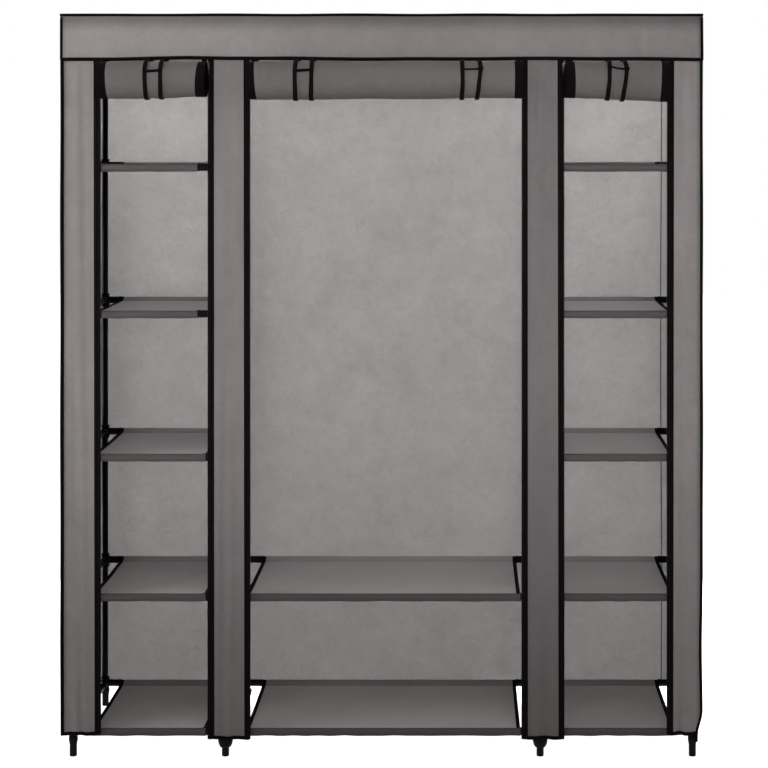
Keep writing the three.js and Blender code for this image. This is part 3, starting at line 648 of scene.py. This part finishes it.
# Left shelves whose front sleeve stops early and shows more of the inner connector
BARE = {"shelf_left_4": 0.014, "shelf_left_5": 0.018}
outer_end = OUTER - OUTER_REACH - CLEARANCE
inner_end = INNER + INNER_REACH + CLEARANCE
middle_end = INNER - INNER_REACH - CLEARANCE
BAYS = {
    "left": (-outer_end, -inner_end, 100), "right": (inner_end, outer_end, 120),
    "middle": (-middle_end, middle_end, 140),
}
for tier, z in enumerate(TIERS):
    for bay, (low, high, seed) in BAYS.items():
        if bay != "middle" or tier < MIDDLE_TIERS:
            node = f"shelf_{bay}_{tier + 1}"
            shelf(node, low, high, z, seed + tier, BARE.get(node, 0.0))


# Cover: back, sides and roof
def panel(low, high, bottom, top, wide, tall):
    u = np.linspace(low, high, wide)
    v = np.linspace(bottom, top, tall)
    return np.meshgrid(u, v)


def creases(x, z):
    """Lines pressed into the back by its packing, three across it and three upright"""
    total = np.zeros_like(z)
    for at in (0.41, 0.83, 1.25):
        total += np.exp(-(((z - at - 0.002 * np.sin(9 * x)) / 0.006) ** 2))
    for at in (-0.37, 0.0, 0.37):
        total += 0.6 * np.exp(-(((x - at) / 0.006) ** 2))
    return total


def back_strip(x0):
    """A thin dark strip down the inside of the back"""
    z = np.linspace(OUTER_HEM + 0.001, HEADER - 0.001, 90)
    x = x0 + 0.0012 * np.sin(5 * z)
    y = np.full_like(z, BACK_Y - 0.00205)
    strip = np.stack([np.stack([x + dx, y, z], 1) for dx in (-0.0012, 0.0, 0.0012)], 1)
    return shell("strip", strip, 0.0005, [DARK_THREAD])


def back_cover():
    x, z = panel(-EDGE, EDGE, OUTER_HEM, HEADER, 150, 170)
    hold = ease((HEADER - z) / 0.25) * ease((EDGE - abs(x)) / 0.08)
    soft = waves(3, x, z, 0.2, 2.6) * 0.5 + waves(4, x, z, 0.42, 0.5) * 0.5
    y = BACK_Y + hold * 0.0011 * soft - 0.0009 * creases(x, z) * ease((HEADER - z) / 0.05)
    back = shell("back_cloth_panel", np.stack([x, y, z], 2), CLOTH, [BACK])
    u = np.linspace(-0.742, 0.742, 160)
    hem = np.stack([u, np.full_like(u, BACK_Y), np.full_like(u, OUTER_HEM + 0.003)], 1)
    trim = joined("back_trim", [
        *[back_strip(x0) for x0 in BACK_STRIPS],
        sweep("hem", hem, 0.0038, BINDING, 10, 1.0, (0, 1, 0)),
    ])
    fit(back, "back_cloth", "cover_back")
    fit(trim, "tie_ribbon")


def curl(side, y, z):
    """How far the front corner on the right side sits inwards, and its lower end folds"""
    front = ease((-0.135 - y) / 0.035)
    waist = 0.0022 + 0.0028 * np.exp(-(((z - 0.26) / 0.1) ** 2))
    fold = 0.0115 * ease((0.108 - z) / 0.055) * ease((0.02 - y) / 0.19)
    return -(side > 0) * (waist * front + fold)


def corner_piping(side, y, seed, out=0.0, radius=PIPING - 0.0004, end=OUTER_HEM - 0.002):
    v = np.linspace(HEADER, end, 120)
    sway = 0.0008 * np.sin(v * 13 + seed) * ease((HEADER - v) / 0.2)
    x = side * (SEAM_X + out - sway * 0.5) + curl(side, y, v)
    path = np.stack([x, np.full_like(v, y) + sway * 0.5, v], 1)
    return sweep("piping", path, radius, BINDING, 10, 1.0, (0, 1, 0))


# How far the front corner's piping stands outwards, its radius and its lower end
CORNERS = {"left": (0.0015, 0.0042, OUTER_HEM - 0.002), "right": (-0.0003, 0.0036, 0.037)}


def side_cover(name, side):
    y, z = panel(SIDE_FRONT, SIDE_REAR, OUTER_HEM, HEADER, 60, 170)
    hold = ease((HEADER - z) / 0.3) * hump((y - SIDE_FRONT) / (SIDE_REAR - SIDE_FRONT)) ** 0.5
    soft = waves(20 + side, y, z, 0.16, 2.2) + 0.5 * waves(30 + side, y, z, 0.3, 0.4)
    x = side * (SIDE_X - hold * (0.0018 + 0.0012 * soft)) + curl(side, y, z)
    grid = np.stack([x, y, z], 2)
    if side < 0:
        grid = grid[:, ::-1]
    cloth = shell(f"side_{name}_panel", grid, CLOTH, [COVER])
    v = np.linspace(SIDE_FRONT, SIDE_REAR, 60)
    low = np.full_like(v, OUTER_HEM)
    hem = np.stack([side * SIDE_HEM_X + curl(side, v, low), v, low + 0.004], 1)
    trim = joined(f"side_{name}_piping", [
        corner_piping(side, FRONT_SEAM_Y, 1.0, *CORNERS[name]),
        corner_piping(side, REAR_SEAM_Y, 2.0),
        sweep("hem", hem, 0.0036, BINDING, 10, 1.0, (1, 0, 0)),
    ])
    fit(cloth, "cover_cloth", f"cover_side_{name}")
    fit(trim, "tie_ribbon")


# The ends in X and Y of the piping along each edge of the roof, and the axis across it
ROOF_SEAMS = [
    ((-0.7518, ROOF_SEAM_Y), (0.7474, ROOF_SEAM_Y), (0, 1, 0)),
    ((-0.749, REAR_SEAM_Y), (0.749, REAR_SEAM_Y), (0, 1, 0)),
    ((-0.7478, ROOF_SEAM_Y), (-SEAM_X, REAR_SEAM_Y), (1, 0, 0)),
    ((0.7438, ROOF_SEAM_Y), (SEAM_X, REAR_SEAM_Y), (1, 0, 0)),
]


def roof_piping(seed, start, end, across):
    t = np.linspace(0, 1, 160)
    start, end = np.array([[*start, PIPING_Z], [*end, PIPING_Z]])
    path = start + (end - start) * t[:, None]
    path[:, 2] += 0.0006 * np.sin(t * 31 + seed) * hump(t)
    return sweep("p", path, PIPING, BINDING, 10, 1, across)


def roof_cover():
    x, y = panel(-ROOF_HALF, ROOF_HALF, ROOF_FRONT, ROOF_REAR, 150, 50)
    bay = np.where(abs(x) < INNER, np.cos(np.pi * x / (2 * INNER)) ** 2 * 0.6,
                   hump((abs(x) - INNER) / (OUTER - INNER)) ** 2)
    room = hump((y - FRONT) / (REAR - FRONT)) ** 2
    z = ROOF_Z - bay * room * (0.0032 + 0.0012 * waves(41, x, y, 0.14, 0.3))
    roof = shell("roof_panel", np.stack([x, y, z], 2), CLOTH, [COVER])
    trim = joined("roof_piping", [roof_piping(k, *seam) for k, seam in enumerate(ROOF_SEAMS)])
    fit(roof, "cover_cloth", "cover_roof")
    fit(trim, "tie_ribbon")


back_cover()
for name, side in SIDES.items():
    side_cover(name, side)
roof_cover()


# Valance with its bound hem
VALANCE_HEM = [(-0.0009, 0.0036), (-0.0012, 0), (-0.0009, -0.0036), (0, -0.0044),
               (0.0009, -0.0036), (0.001, 0)]
STILE_HEM = [(-0.0016, 0.004), (-0.0019, 0), (-0.0015, -0.0036), (0, -0.0046),
             (0.0012, -0.0036), (0.0012, 0.0036)]


def hem_band(name, middle, outline, thickness):
    """Black tape folded round a lower edge"""
    band = np.stack([middle + [0, out, up] for out, up in outline])
    return shell(name, band[::-1], thickness, [BINDING])


def hem_height(x):
    """The valance's lower edge, which isn't quite level"""
    places = [-0.75, -0.62, -0.45, -0.2, 0.0, 0.2, 0.42, 0.6, 0.75]
    rises = [-0.002, -0.0006, 0.0022, 0.0004, -0.0008, -0.0002, 0.0008, -0.0004, -0.0016]
    return HEM + np.interp(x, places, rises) + 0.0005 * np.sin(x * 23)


def valance():
    x, t = panel(VALANCE_LEFT, VALANCE_RIGHT, 0, 1, 260, 40)
    start = PIPING_Z - 0.0012
    z = start + (hem_height(x) + 0.004 - start) * t
    fold = 0.6 + 0.5 * waves(51, x, t, 0.19, 2.5) + 0.4 * waves(52, x, t, 0.06, 1.5)
    y = VALANCE_Y - 0.0013 * ease(t / 0.1) - ease(t * 1.1) * 0.0027 * np.clip(fold, -0.1, 1.7)
    grid = np.stack([x, y, z], 2)
    cloth = shell("valance_cloth", grid[::-1], CLOTH, [VALANCE])
    low = grid[-1]
    trims = [hem_band("band", low, VALANCE_HEM, 0.0006),
             stitches(low + [0, -0.0016, 0.0026])]
    for column in (0, -1):
        edge = grid[1:, column] + [0, 0.0012, -0.002]
        trims.append(sweep("edge", edge, 0.0037, BINDING, 10, 1.0, (0, 1, 0)))
    trim = joined("valance_binding", trims)
    fit(cloth, "cover_cloth")
    fit(trim, "tie_ribbon")


valance()


# Stiles with their zip tapes
TOOTH_PITCH = 0.0017
TOOTH_OUTLINE = [(-0.0008, 0), (-0.0004, -0.0011), (0.0022, -0.0012), (0.0029, -0.0004),
                 (0.0029, 0.0004), (0.0022, 0.0012), (-0.0004, 0.0011)]


def teeth(name, x0, into, bottom, top):
    """The coil's turns along a zip's edge"""
    verts, faces, uvs = [], [], []
    for n in range(int((top - bottom) / TOOTH_PITCH)):
        z = bottom + (n + 0.5) * TOOTH_PITCH
        base = len(verts)
        for half in (-0.00058, 0.00058):
            height = z + half + into * 0.0001
            verts += [(x0 + into * u, STILE_Y + v, height) for u, v in TOOTH_OUTLINE]
            uvs += [(u, z) for u, v in TOOTH_OUTLINE]
        turn = tube_faces(2, len(TOOTH_OUTLINE), base)
        faces += turn if into > 0 else [face[::-1] for face in turn]
    return mesh_of(name, verts, faces, [COIL], uvs, smooth=False)


def zip_side(name, bottom, surface):
    """Tape, coil and its sewing on a stile's edge, following the cloth's surface"""
    x0, into = ZIPS[name]
    z = np.linspace(bottom + 0.001, HEADER, 150)
    wide = np.interp(z, (bottom, HEADER), TAPES[name])
    cols = []
    for share in (0.06, 0.3, 0.55, 0.8, 1.0):
        x = x0 + into * wide * share
        cols.append(np.stack([x, surface(x, z) - CLOTH / 2 - 0.0005, z], 1))
    strip = np.stack(cols if into > 0 else cols[::-1], 1)
    parts = [shell("tape", strip, 0.0007, [ZIP_TAPE]), teeth("teeth", x0, into, bottom, HEADER)]
    for u in (0.0052, 0.0118):
        x = np.full_like(z, x0 + into * u)
        y = surface(x, z) - CLOTH / 2 - 0.0009
        parts.append(stitches(np.stack([x, y, z], 1), 0.0036, 0.0024))
    return parts


# How far a strip's cloth ends from its zip's line
ZIP_SEAM = 0.003


def stile(node, zips, seed, dense, painted_fades=()):
    """A front strip of the cover between its zips, or from its zip to the cover's edge. Its colour
    is the cover's over dense: painted shade, darker or lighter for the light on each strip."""
    ends = [ZIPS[name][0] + ZIPS[name][1] * ZIP_SEAM for name in zips]
    outer = len(ends) == 1
    low, high = sorted([*ends, math.copysign(EDGE, ends[0])] if outer else ends)
    bottom = OUTER_HEM if outer else INNER_HEM

    def surface(x, z):
        drop = ease((HEADER - z) / 0.2)
        free = hump((x - low) / (high - low)) ** 1.5
        wave = waves(seed, x, z, 0.045, 1.6) + 0.5 * waves(seed + 1, x, z, 0.12, 0.24, 7)
        wave = wave + 0.5 * np.exp(-z / 0.25) * waves(seed + 2, x, z, 0.03, 0.5, 7)
        return STILE_Y - 0.0006 + drop * free * 0.0021 * wave

    right_edge = high == EDGE
    x, z = panel(low, high, bottom, HEADER, max(30, int((high - low) / 0.0026)), 210)
    grid = np.stack([x, surface(x, z), z], 2)
    outward = (x - low) / (high - low)
    grid[..., 0] += curl(right_edge, STILE_Y, z) * outward ** 1.5
    # Painted shade: each strip's copy of the cover's colour is darker or lighter by its own divisor
    colour = tuple(share / dense for share in COVER_COLOUR)
    material = nonwoven(f"{node}_nonwoven", colour, painted_fades=painted_fades)
    cloth = shell(f"{node}_cloth", grid[::-1], CLOTH, [material])
    parts = []
    for zip_name in zips:
        parts += zip_side(zip_name, bottom, surface)
    zips_piece = joined(f"{node}_zip_tapes", parts)
    x = np.linspace(low - 0.0004, high + 0.0004, 40)
    rise = 0.0009 * np.sin((x - low) * 120 + seed)
    middle = np.stack([x, surface(x, np.full_like(x, bottom)), bottom + 0.004 + rise], 1)
    middle[:, 0] += curl(right_edge, STILE_Y, middle[:, 2]) * np.linspace(0, 1, 40) ** 1.5
    hem = hem_band(f"{node}_hem", middle, STILE_HEM, 0.0007)
    fit(cloth, "cover_cloth", node)
    fit(zips_piece, "tie_ribbon")
    fit(hem, "tie_ribbon")


# The number after each seed, which the cover's colour is divided by, is painted shade; the outer
# strips also get painted shade darkening them towards the cover's edge
stile("stile_left_outer", ["left_outer"], 61, 1.0, [("X", -0.733, -0.7425, 0.7)])
stile("stile_left_inner", ["left_inner", "middle_left"], 63, 1.15)
stile("stile_right_inner", ["middle_right", "right_inner"], 65, 1.4)
stile("stile_right_outer", ["right_outer"], 67, 0.92, [("X", 0.729, 0.7405, 0.6)])


# Zip sliders
# A slider's middle from the zip towards the opening, half its length and depth, and its wall
SLIDER_MIDDLE, SLIDER_HALF, SLIDER_DEEP, SLIDER_WALL = -0.0009, 0.0075, 0.0035, 0.0012
# A slider's outline from the zip as (towards the opening, up from its lower end)
SLIDER_OUTLINE = [
    (-0.0047, 0), (0.0029, 0), (0.0042, 0.0045), (0.0045, 0.01), (0.0041, 0.014),
    (0.0023, 0.015), (-0.0041, 0.015), (-0.0059, 0.014), (-0.0063, 0.01), (-0.006, 0.0045),
]


def slider_plate(x0, into, front, rear):
    """One of a slider's two plates, with eased edges"""
    middle, half = SLIDER_MIDDLE, SLIDER_HALF
    verts = []
    for share, inset in ((0.0, 0.0008), (0.12, 0.0), (0.88, 0.0), (1.0, 0.0008)):
        y = STILE_Y + front + (rear - front) * share
        for u, v in SLIDER_OUTLINE:
            x = x0 + into * (middle + (u - middle) * (1 - inset / 0.005))
            verts.append((x, y, SLIDER_TOP - half + (v - half) * (1 - inset / half)))
    faces = tube_faces(4, len(SLIDER_OUTLINE))
    if into > 0:
        faces = [face[::-1] for face in faces]
    plate = mesh_of("plate", verts, faces, [LACQUER], [(0, 0)] * len(verts))
    plate.data.set_sharp_from_angle(angle=math.radians(40))
    return plate


def slider_pull(centre, top):
    """The pull that hangs from the lug: a rounded plate, narrower above, and its raised eye"""
    half, length, thick, steps = 0.004, 0.024, 0.0007, 40
    y = STILE_Y - 0.0048
    outline = []
    for k in range(steps):
        angle = 2 * math.pi * k / steps
        across, up = math.cos(angle), math.sin(angle)
        narrow = 0.72 if up > 0.2 else 1.0
        outline.append((half * np.sign(across) * abs(across) ** 0.55 * narrow,
                        -length / 2 + length / 2 * np.sign(up) * abs(up) ** 0.7))
    verts = [(centre + u, at, top + v) for at in (y - thick, y + thick) for u, v in outline]
    faces = [tuple(range(steps)), tuple(range(steps, 2 * steps))[::-1]]
    faces += [(j, j + steps, (j + 1) % steps + steps, (j + 1) % steps) for j in range(steps)]
    plate = mesh_of("pull", verts, faces, [LACQUER], [(0, 0)] * len(verts))
    bevel = plate.modifiers.new("edge", "BEVEL")
    bevel.width, bevel.segments, bevel.limit_method = 0.0003, 2, "ANGLE"
    depsgraph = bpy.context.evaluated_depsgraph_get()
    shaped = bpy.data.meshes.new_from_object(plate.evaluated_get(depsgraph))
    plate.modifiers.clear()
    plate.data = shaped
    turn = np.linspace(0, 2 * math.pi, 25)
    eye = np.stack([centre + 0.0021 * np.cos(turn), np.full(25, y - thick - 0.0001),
                    top - 0.0175 + 0.0036 * np.sin(turn)], 1)
    return [plate, sweep("eye", eye, 0.0004, LACQUER, 6, 1.0, (0, 1, 0))]


# The lug that holds the pull, as (forwards, up) from the strip's plane and the pull's top
LUG = [(0.0032, -0.006), (0.0047, -0.0052), (0.0053, -0.003), (0.0047, -0.0008), (0.0032, 0.0)]


def slider(name):
    x0, into = ZIPS[name]
    deep, wall = SLIDER_DEEP, SLIDER_WALL
    centre, pull_top = x0 + into * SLIDER_MIDDLE, SLIDER_TOP - 0.00375
    lug = [(centre, STILE_Y - out, pull_top + up) for out, up in LUG]
    parts = [
        slider_plate(x0, into, -deep, wall - deep), slider_plate(x0, into, deep - wall, deep),
        rod("Y", STILE_Y - deep + wall / 2, STILE_Y + deep - wall / 2,
            (centre, 0, SLIDER_TOP - 0.0042), 0.0006, LACQUER, 10),
        sweep("lug", lug, 0.0009, LACQUER, 8, 1.3, (1, 0, 0)),
        *slider_pull(centre, pull_top),
    ]
    piece = joined(f"zip_slider_{name}_body", parts)
    fit(piece, "zip_metal", f"zip_slider_{name}", body=f"slider_{name}")


for name in ZIPS:
    slider(name)


# Rolled doors, their cloth above the roll, and their ties
# How far a roll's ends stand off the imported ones, and how wide the black cloth at each end is
ENDS = {"left": (0.003, 0.0), "middle": (0.0, 0.004), "right": (0.0, 0.0)}
BANDS = {"left": (0.025, 0.0205), "middle": (0.0228, 0.024), "right": (0.022, 0.023)}
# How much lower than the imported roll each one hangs, at places across it
DROPS = {
    "left": [(-0.62, -0.55, -0.43), (0.0027, 0.0021, -0.0014)],
    "middle": [(-0.27, -0.07, 0.0, 0.17, 0.3), (0.0042, 0.0038, 0.0025, 0.0022, 0.0005)],
    "right": [(0.445, 0.5, 0.54, 0.63), (0.0, 0.0024, 0.0052, 0.0085)],
}
# Where a tie's two straps run, from its middle
STRAPS = (-0.018, 0.018)


def hang(door, x, z):
    """A door's drop at x, which grows down the roll's height"""
    return np.interp(x, *DROPS[door]) * ease((ROLL_Z + ROLL_OUT - z) / 0.06)


def sits_in(turn, rate, phase, fast, fast_phase):
    """How far a turn's end sits inside the roll's: the inner turns more, and unevenly"""
    uneven = 0.0035 * np.sin(turn * rate + phase) + 0.002 * np.sin(turn * fast + fast_phase)
    return (0.005 + uneven) * ease(turn) * 0.8


def roll_columns(low, high, ties):
    """Shares of the grey cloth's width, with more of them beside the ties"""
    spread = np.linspace(0, 1, 400)
    near = sum(np.exp(-(((low + (high - low) * spread - tie) / 0.032) ** 2)) for tie in ties)
    dense = np.cumsum(1 + 1.6 * near)
    dense = (dense - dense[0]) / (dense[-1] - dense[0])
    return np.interp(np.linspace(0, 1, int((high - low) / 0.0038)), dense, spread)[None]


def roll_bumps(x, angle, ties, seed):
    """Unevenness of a roll as a share of its radius: soft bumps, gathers and the ties' pinch"""
    bumps = waves(seed, x, 0.05 * np.cos(angle) + 0.03 * np.sin(2 * angle), 0.15, 0.12) * 0.014
    bumps += waves(seed + 5, x, 0.05 * np.sin(angle), 0.05, 0.1) * 0.006
    gathers = waves(seed + 9, x, 0.05 * np.sin(angle), 0.009, 0.3)
    for tie in ties:
        for side in STRAPS:
            bumps -= 0.02 * np.exp(-(((x - tie - side) / 0.01) ** 2))
        bumps += 0.006 * gathers * np.exp(-(((x - tie) / 0.03) ** 2))
    return bumps


def roll(name, low, high, ties, seed):
    """A door wound into a spiral, with black cloth at both ends, wider than its zip tapes"""
    low, high = low - 0.004 + ENDS[name][0], high + 0.004 + ENDS[name][1]
    turns = (ROLL_OUT - ROLL_CORE) / ROLL_PITCH
    turn = np.linspace(0, turns, int(turns * 40))[:, None]
    angle = -2 * math.pi * turn
    a = low + sits_in(turn, 2.1, seed, 4.7, seed * 2)
    b = high - sits_in(turn, 1.7, seed + 2, 5.3, seed)
    ends = np.linspace(0, 1, 6)[None, :-1]
    widen = -0.0025 * np.sin(angle)
    first, last = a + BANDS[name][0] + widen, b - BANDS[name][1] - widen
    x = np.concatenate([
        a + (first - a) * ends, first + (last - first) * roll_columns(low, high, ties),
        b - (b - last) * ends[:, ::-1]], 1)
    radius = (ROLL_OUT - ROLL_PITCH * turn) * (0.98 + roll_bumps(x, angle, ties, seed))
    y = ROLL_Y + radius * np.cos(angle) * 0.985
    z = ROLL_Z + radius * np.sin(angle)
    grid = np.stack([x, y, z - hang(name, x, z)], 2)
    black = ends.shape[1]
    made = shell(f"door_{name}_roll_cloth", grid, CLOTH, [ROLLED_SHADED, ZIP_TAPE],
                 lambda i, j: int(not black <= j < x.shape[1] - 1 - black))
    fit(made, "cover_cloth", f"door_{name}_roll", body=f"door_{name}")
    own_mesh(made)


# The door's cloth in Y and Z, from the header down to where it runs into the roll
CURTAIN_LINE = np.array([
    (0, HEADER), (0, 1.69), (0, 1.65), (0, 1.622), (0, 1.604), (-0.0004, 1.596),
    (-0.0018, 1.588), (-0.0042, 1.58), (-0.0075, 1.572), (-0.0107, 1.565),
]) + [STILE_Y, 0]


def curtain(name, low, high):
    """The door's cloth above its roll"""
    t = np.linspace(0, len(CURTAIN_LINE) - 1, 60)
    y, z = (np.interp(t, range(len(CURTAIN_LINE)), CURTAIN_LINE[:, k]) for k in (0, 1))
    x = np.linspace(low + 0.002, high - 0.002, max(40, int((high - low) / 0.006)))
    y, z = y[:, None], z[:, None]
    grid = np.stack(np.broadcast_arrays(x, y, z - hang(name, x, z)), 2)
    made = shell(f"door_{name}_curtain_cloth", grid[::-1], CLOTH * 0.9, [COVER, ZIP_TAPE],
                 lambda i, j: int(min(x[j] - low, high - x[j]) < DOOR_TAPE))
    fit(made, "cover_cloth", f"door_{name}_curtain", body=None)
    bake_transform(made)


# How far each tie's two straps lean off their places, in mm, at these heights
LEAN_HEIGHTS = (1.536, 1.556, 1.572, 1.604, 1.622, 1.66)
LEANS = {
    "tie_left": ((-2.1, -1.3, -1.2, -2.1, -1.0, 0), (-4.4, -2.7, -2.1, -2.0, -1.5, 0)),
    "tie_middle_1": ((-4.4, -2.1, -2.2, -3.2, -2.5, 0), (-4.2, -1.7, -0.9, -1.0, -1.6, 0)),
    "tie_middle_2": ((-1.4, 0.4, 1.0, -0.2, -0.9, 0), (-2.6, 1.1, 2.1, 5.8, 3.2, 0)),
    "tie_right": ((0.2, 0.6, 2.0, 3.6, 4.4, 0), (-1.2, -0.1, 2.2, 6.9, 4.0, 0)),
}
# Each cross strap's height, half width, fall to the right, sag, and whether it ends in a knot
CROSSES = {
    "tie_left": (1.5983, 0.0033, -0.001, 0.0, False),
    "tie_middle_1": (1.6006, 0.0033, -0.0012, 0.0, False),
    "tie_middle_2": (1.603, 0.0022, -0.0006, 0.0008, True),
    "tie_right": (1.6072, 0.0021, 0.003, 0.0022, True),
}
# A strap in Y and Z behind the door, and from the roll's front back up to the header
STRAP_REAR = np.array([
    (0.0016, HEADER), (0.0016, 1.66), (0.0016, 1.62), (0.0014, 1.6), (0.0003, 1.588),
    (-0.003, 1.574), (-0.0086, 1.561),
]) + [STILE_Y, 0]
STRAP_FRONT = [
    (ROLL_Y + 0.012, 1.6252), (ROLL_Y + 0.03, 1.6238), (ROLL_Y + 0.044, 1.6225),
    (STILE_Y - 0.0019, 1.6235), (STILE_Y - 0.0014, 1.632), (STILE_Y - 0.0014, 1.66),
    (STILE_Y - 0.0014, HEADER),
]
STRAP_RADIUS = ROLL_RADIUS + 0.0004


def roll_front(z):
    """Where a strap lies on the roll's front"""
    return ROLL_Y - np.sqrt(np.maximum(STRAP_RADIUS**2 - (z - ROLL_Z) ** 2, 1e-6))


def strap_x(name, k, x0, z):
    return x0 + STRAPS[k] + np.interp(z, LEAN_HEIGHTS, LEANS[name][k]) / 1000


def strap(name, k, door, x0, seed):
    """A ribbon from the header down behind the door, round its roll and back up"""
    angles = [math.radians(-28 - turn * (226 / 29)) for turn in range(30)]
    line = np.array([*STRAP_REAR, *[
        (ROLL_Y + STRAP_RADIUS * math.cos(a), ROLL_Z + STRAP_RADIUS * math.sin(a))
        for a in angles], *STRAP_FRONT])
    t = np.linspace(0, len(line) - 1, len(line) * 3)
    line = np.stack([np.interp(t, range(len(line)), line[:, i]) for i in (0, 1)], 1)
    centre = strap_x(name, k, x0, line[:, 1]) + 0.0004 * np.sin(t * 0.3 + seed)
    line = np.concatenate([centre[:, None], line], 1)
    for _ in range(2):
        line[1:-1] = (line[:-2] + 2 * line[1:-1] + line[2:]) / 4
    drawn = hump((1.61 - line[:, 2]) / 0.05)
    half = 0.0051 - 0.0004 * np.where(line[:, 1] < ROLL_Y, drawn, 0)
    grid = np.stack([line + [[h, 0, 0] for h in half * s] for s in (-1, -0.5, 0, 0.5, 1)], 1)
    out = grid - np.array([0, ROLL_Y, ROLL_Z])
    out[..., 0] = 0
    out /= np.maximum(np.linalg.norm(out, axis=2, keepdims=True), 1e-9)
    grid = grid + out * np.array([0.0, 0.0003, 0.0004, 0.0003, 0.0])[None, :, None]
    grid[..., 2] -= hang(door, grid[..., 0], grid[..., 2])
    return shell("strap", grid, 0.0007, [RIBBON])


def cross_strap(name, door, x0):
    """The ribbon across the two straps, and where it is wrapped or knotted round each"""
    height, half, fall, sag, knot = CROSSES[name]
    low, high = strap_x(name, 0, x0, height) - 0.002, strap_x(name, 1, x0, height) + 0.002
    u = np.linspace(0, 1, 40)
    x = low + (high - low) * u
    middle = height - fall * (u - 0.5) * 2 - sag * hump(u)
    rows = []
    for s in (-1, -0.5, 0, 0.5, 1):
        z = middle + half * s * (1 - 0.1 * hump(u))
        rows.append(np.stack([x, roll_front(z) - 0.0011, z - hang(door, x, z)], 1))
    parts = [shell("cross", np.array(rows)[::-1], 0.0007, [RIBBON])]
    turn = np.linspace(0, 2 * math.pi, 26)
    for k, end in ((0, 0), (1, -1)):
        tied = knot and k == 1
        wide, tall, thick = (0.0043, 0.004, 0.0022) if tied else (0.004, half + 0.0006, 0.0009)
        path = np.stack([
            strap_x(name, k, x0, middle[end]) + wide * np.cos(turn),
            roll_front(middle[end]) - 0.0018 - 0.0005 * np.sin(turn * 2),
            middle[end] - hang(door, x[end], height) + tall * np.sin(turn)], 1)
        parts.append(sweep("wrap", path, thick, RIBBON, 8, 1.2, (0, 1, 0)))
    return parts


def tie(name, door, x0, seed):
    """A ribbon loop that holds a roll"""
    parts = [strap(name, k, door, x0, seed) for k in (0, 1)] + cross_strap(name, door, x0)
    piece = joined(f"{name}_ribbons", parts)
    fit(piece, "tie_ribbon", name)
    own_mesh(piece)


for number, (name, (first_zip, last_zip, shares)) in enumerate(DOORS.items()):
    low, high = ZIPS[first_zip][0], ZIPS[last_zip][0]
    seed = 70 + 9 * number
    places = [low + (high - low) * share for share in shares]
    curtain(name, low, high)
    roll(name, low, high, places, seed)
    for k, place in enumerate(places):
        tie(f"tie_{name}" if len(places) == 1 else f"tie_{name}_{k + 1}", name, place, seed + k)


# Floor, light and camera
pale = Shader("pale_floor")
speck = pale.noise(pale.place(), 30, 4, 0.6)
pale.set(
    Base_Color=pale.shade((0.52, 0.52, 0.515), pale.around(speck, 1.0, 0.01)),
    Roughness=0.85, Specular_IOR_Level=0.15, Emission_Color=(1, 1, 1, 1),
    Emission_Strength=pale.maths("MULTIPLY", pale.seen(), 0.98),
)
FLOOR_HALF, FLOOR_Z = 14.0, -0.0006
corners = [(x * FLOOR_HALF, y * FLOOR_HALF, FLOOR_Z)
           for x, y in ((-1, -1), (1, -1), (1, 1), (-1, 1))]
mesh_of("floor", corners, [(0, 1, 2, 3)], [pale.material], smooth=False)

studio = bpy.data.worlds.new("studio")
bpy.context.scene.world = studio
sky = Tree(studio)
soft = sky.nodes["Background"]
soft.inputs["Color"].default_value = (1, 1, 1, 1)
soft.inputs["Strength"].default_value = 0.21
white = sky.node("Background", 0, {"Color": (1, 1, 1, 1), "Strength": 1.0})
mixed = sky.node("MixShader", 0, {0: sky.seen(), 1: soft.outputs[0], 2: white})
sky.links.new(mixed, sky.nodes["World Output"].inputs["Surface"])


def lamp(name, place, target, size, power, spread=180):
    """A rectangular lamp; a narrow spread, in degrees, makes it a parallel beam"""
    data = bpy.data.lights.new(name, "AREA")
    data.shape = "RECTANGLE"
    data.size, data.size_y = size
    data.energy = power
    data.spread = math.radians(spread)
    made = bpy.data.objects.new(name, data)
    made.location = place
    direction = np.asarray(target, float) - np.asarray(place, float)
    made.rotation_mode = "QUATERNION"
    made.rotation_quaternion = Vector(direction).to_track_quat("-Z", "Y")
    bpy.context.scene.collection.objects.link(made)


lamp("overhead", (0.0, -2.4, 2.9), (0, -0.2, 1.45), (3.0, 1.0), 12)
lamp("front", (-0.6, -5.6, 1.67), (-0.6, 0, 1.67), (3.0, 2.3), 12.3, 13)
lamp("front_low", (0.0, -3.6, 1.75), (0, -0.1, 0.4), (3.0, 0.6), 15.5)
lamp("behind_low", (0.0, 1.7, 0.32), (0, 0.27, 0.22), (2.4, 0.4), 57)
for side in (-1, 1):
    lamp("behind_top", (side * 0.72, 0.92, 2.0), (side * 0.6, 0.27, 1.65), (0.5, 0.5), 40)
    lamp("behind_side", (side * 0.78, 0.9, 0.95), (side * 0.66, 0.27, 0.95), (0.35, 1.5), 5.4)
lamp("left", (-2.4, -1.5, 2.0), (0, -0.1, 1.4), (1.8, 2.0), 20)
lamp("right", (2.8, -0.4, 2.2), (0, 0, 1.3), (1.8, 2.0), 18)

camera_data = bpy.data.cameras.new("photo_view")
camera = bpy.data.objects.new("photo_view", camera_data)
bpy.context.scene.collection.objects.link(camera)
camera.location = (0.189, -4.74, 1.4307)
camera.rotation_euler = (math.pi / 2, 0, 0)
camera_data.sensor_width = 36
camera_data.lens = 91.8
camera_data.shift_x = -0.10365
camera_data.shift_y = -0.3125
camera_data.clip_end = 100
bpy.context.scene.camera = camera
bpy.context.scene.view_settings.view_transform = "Standard"
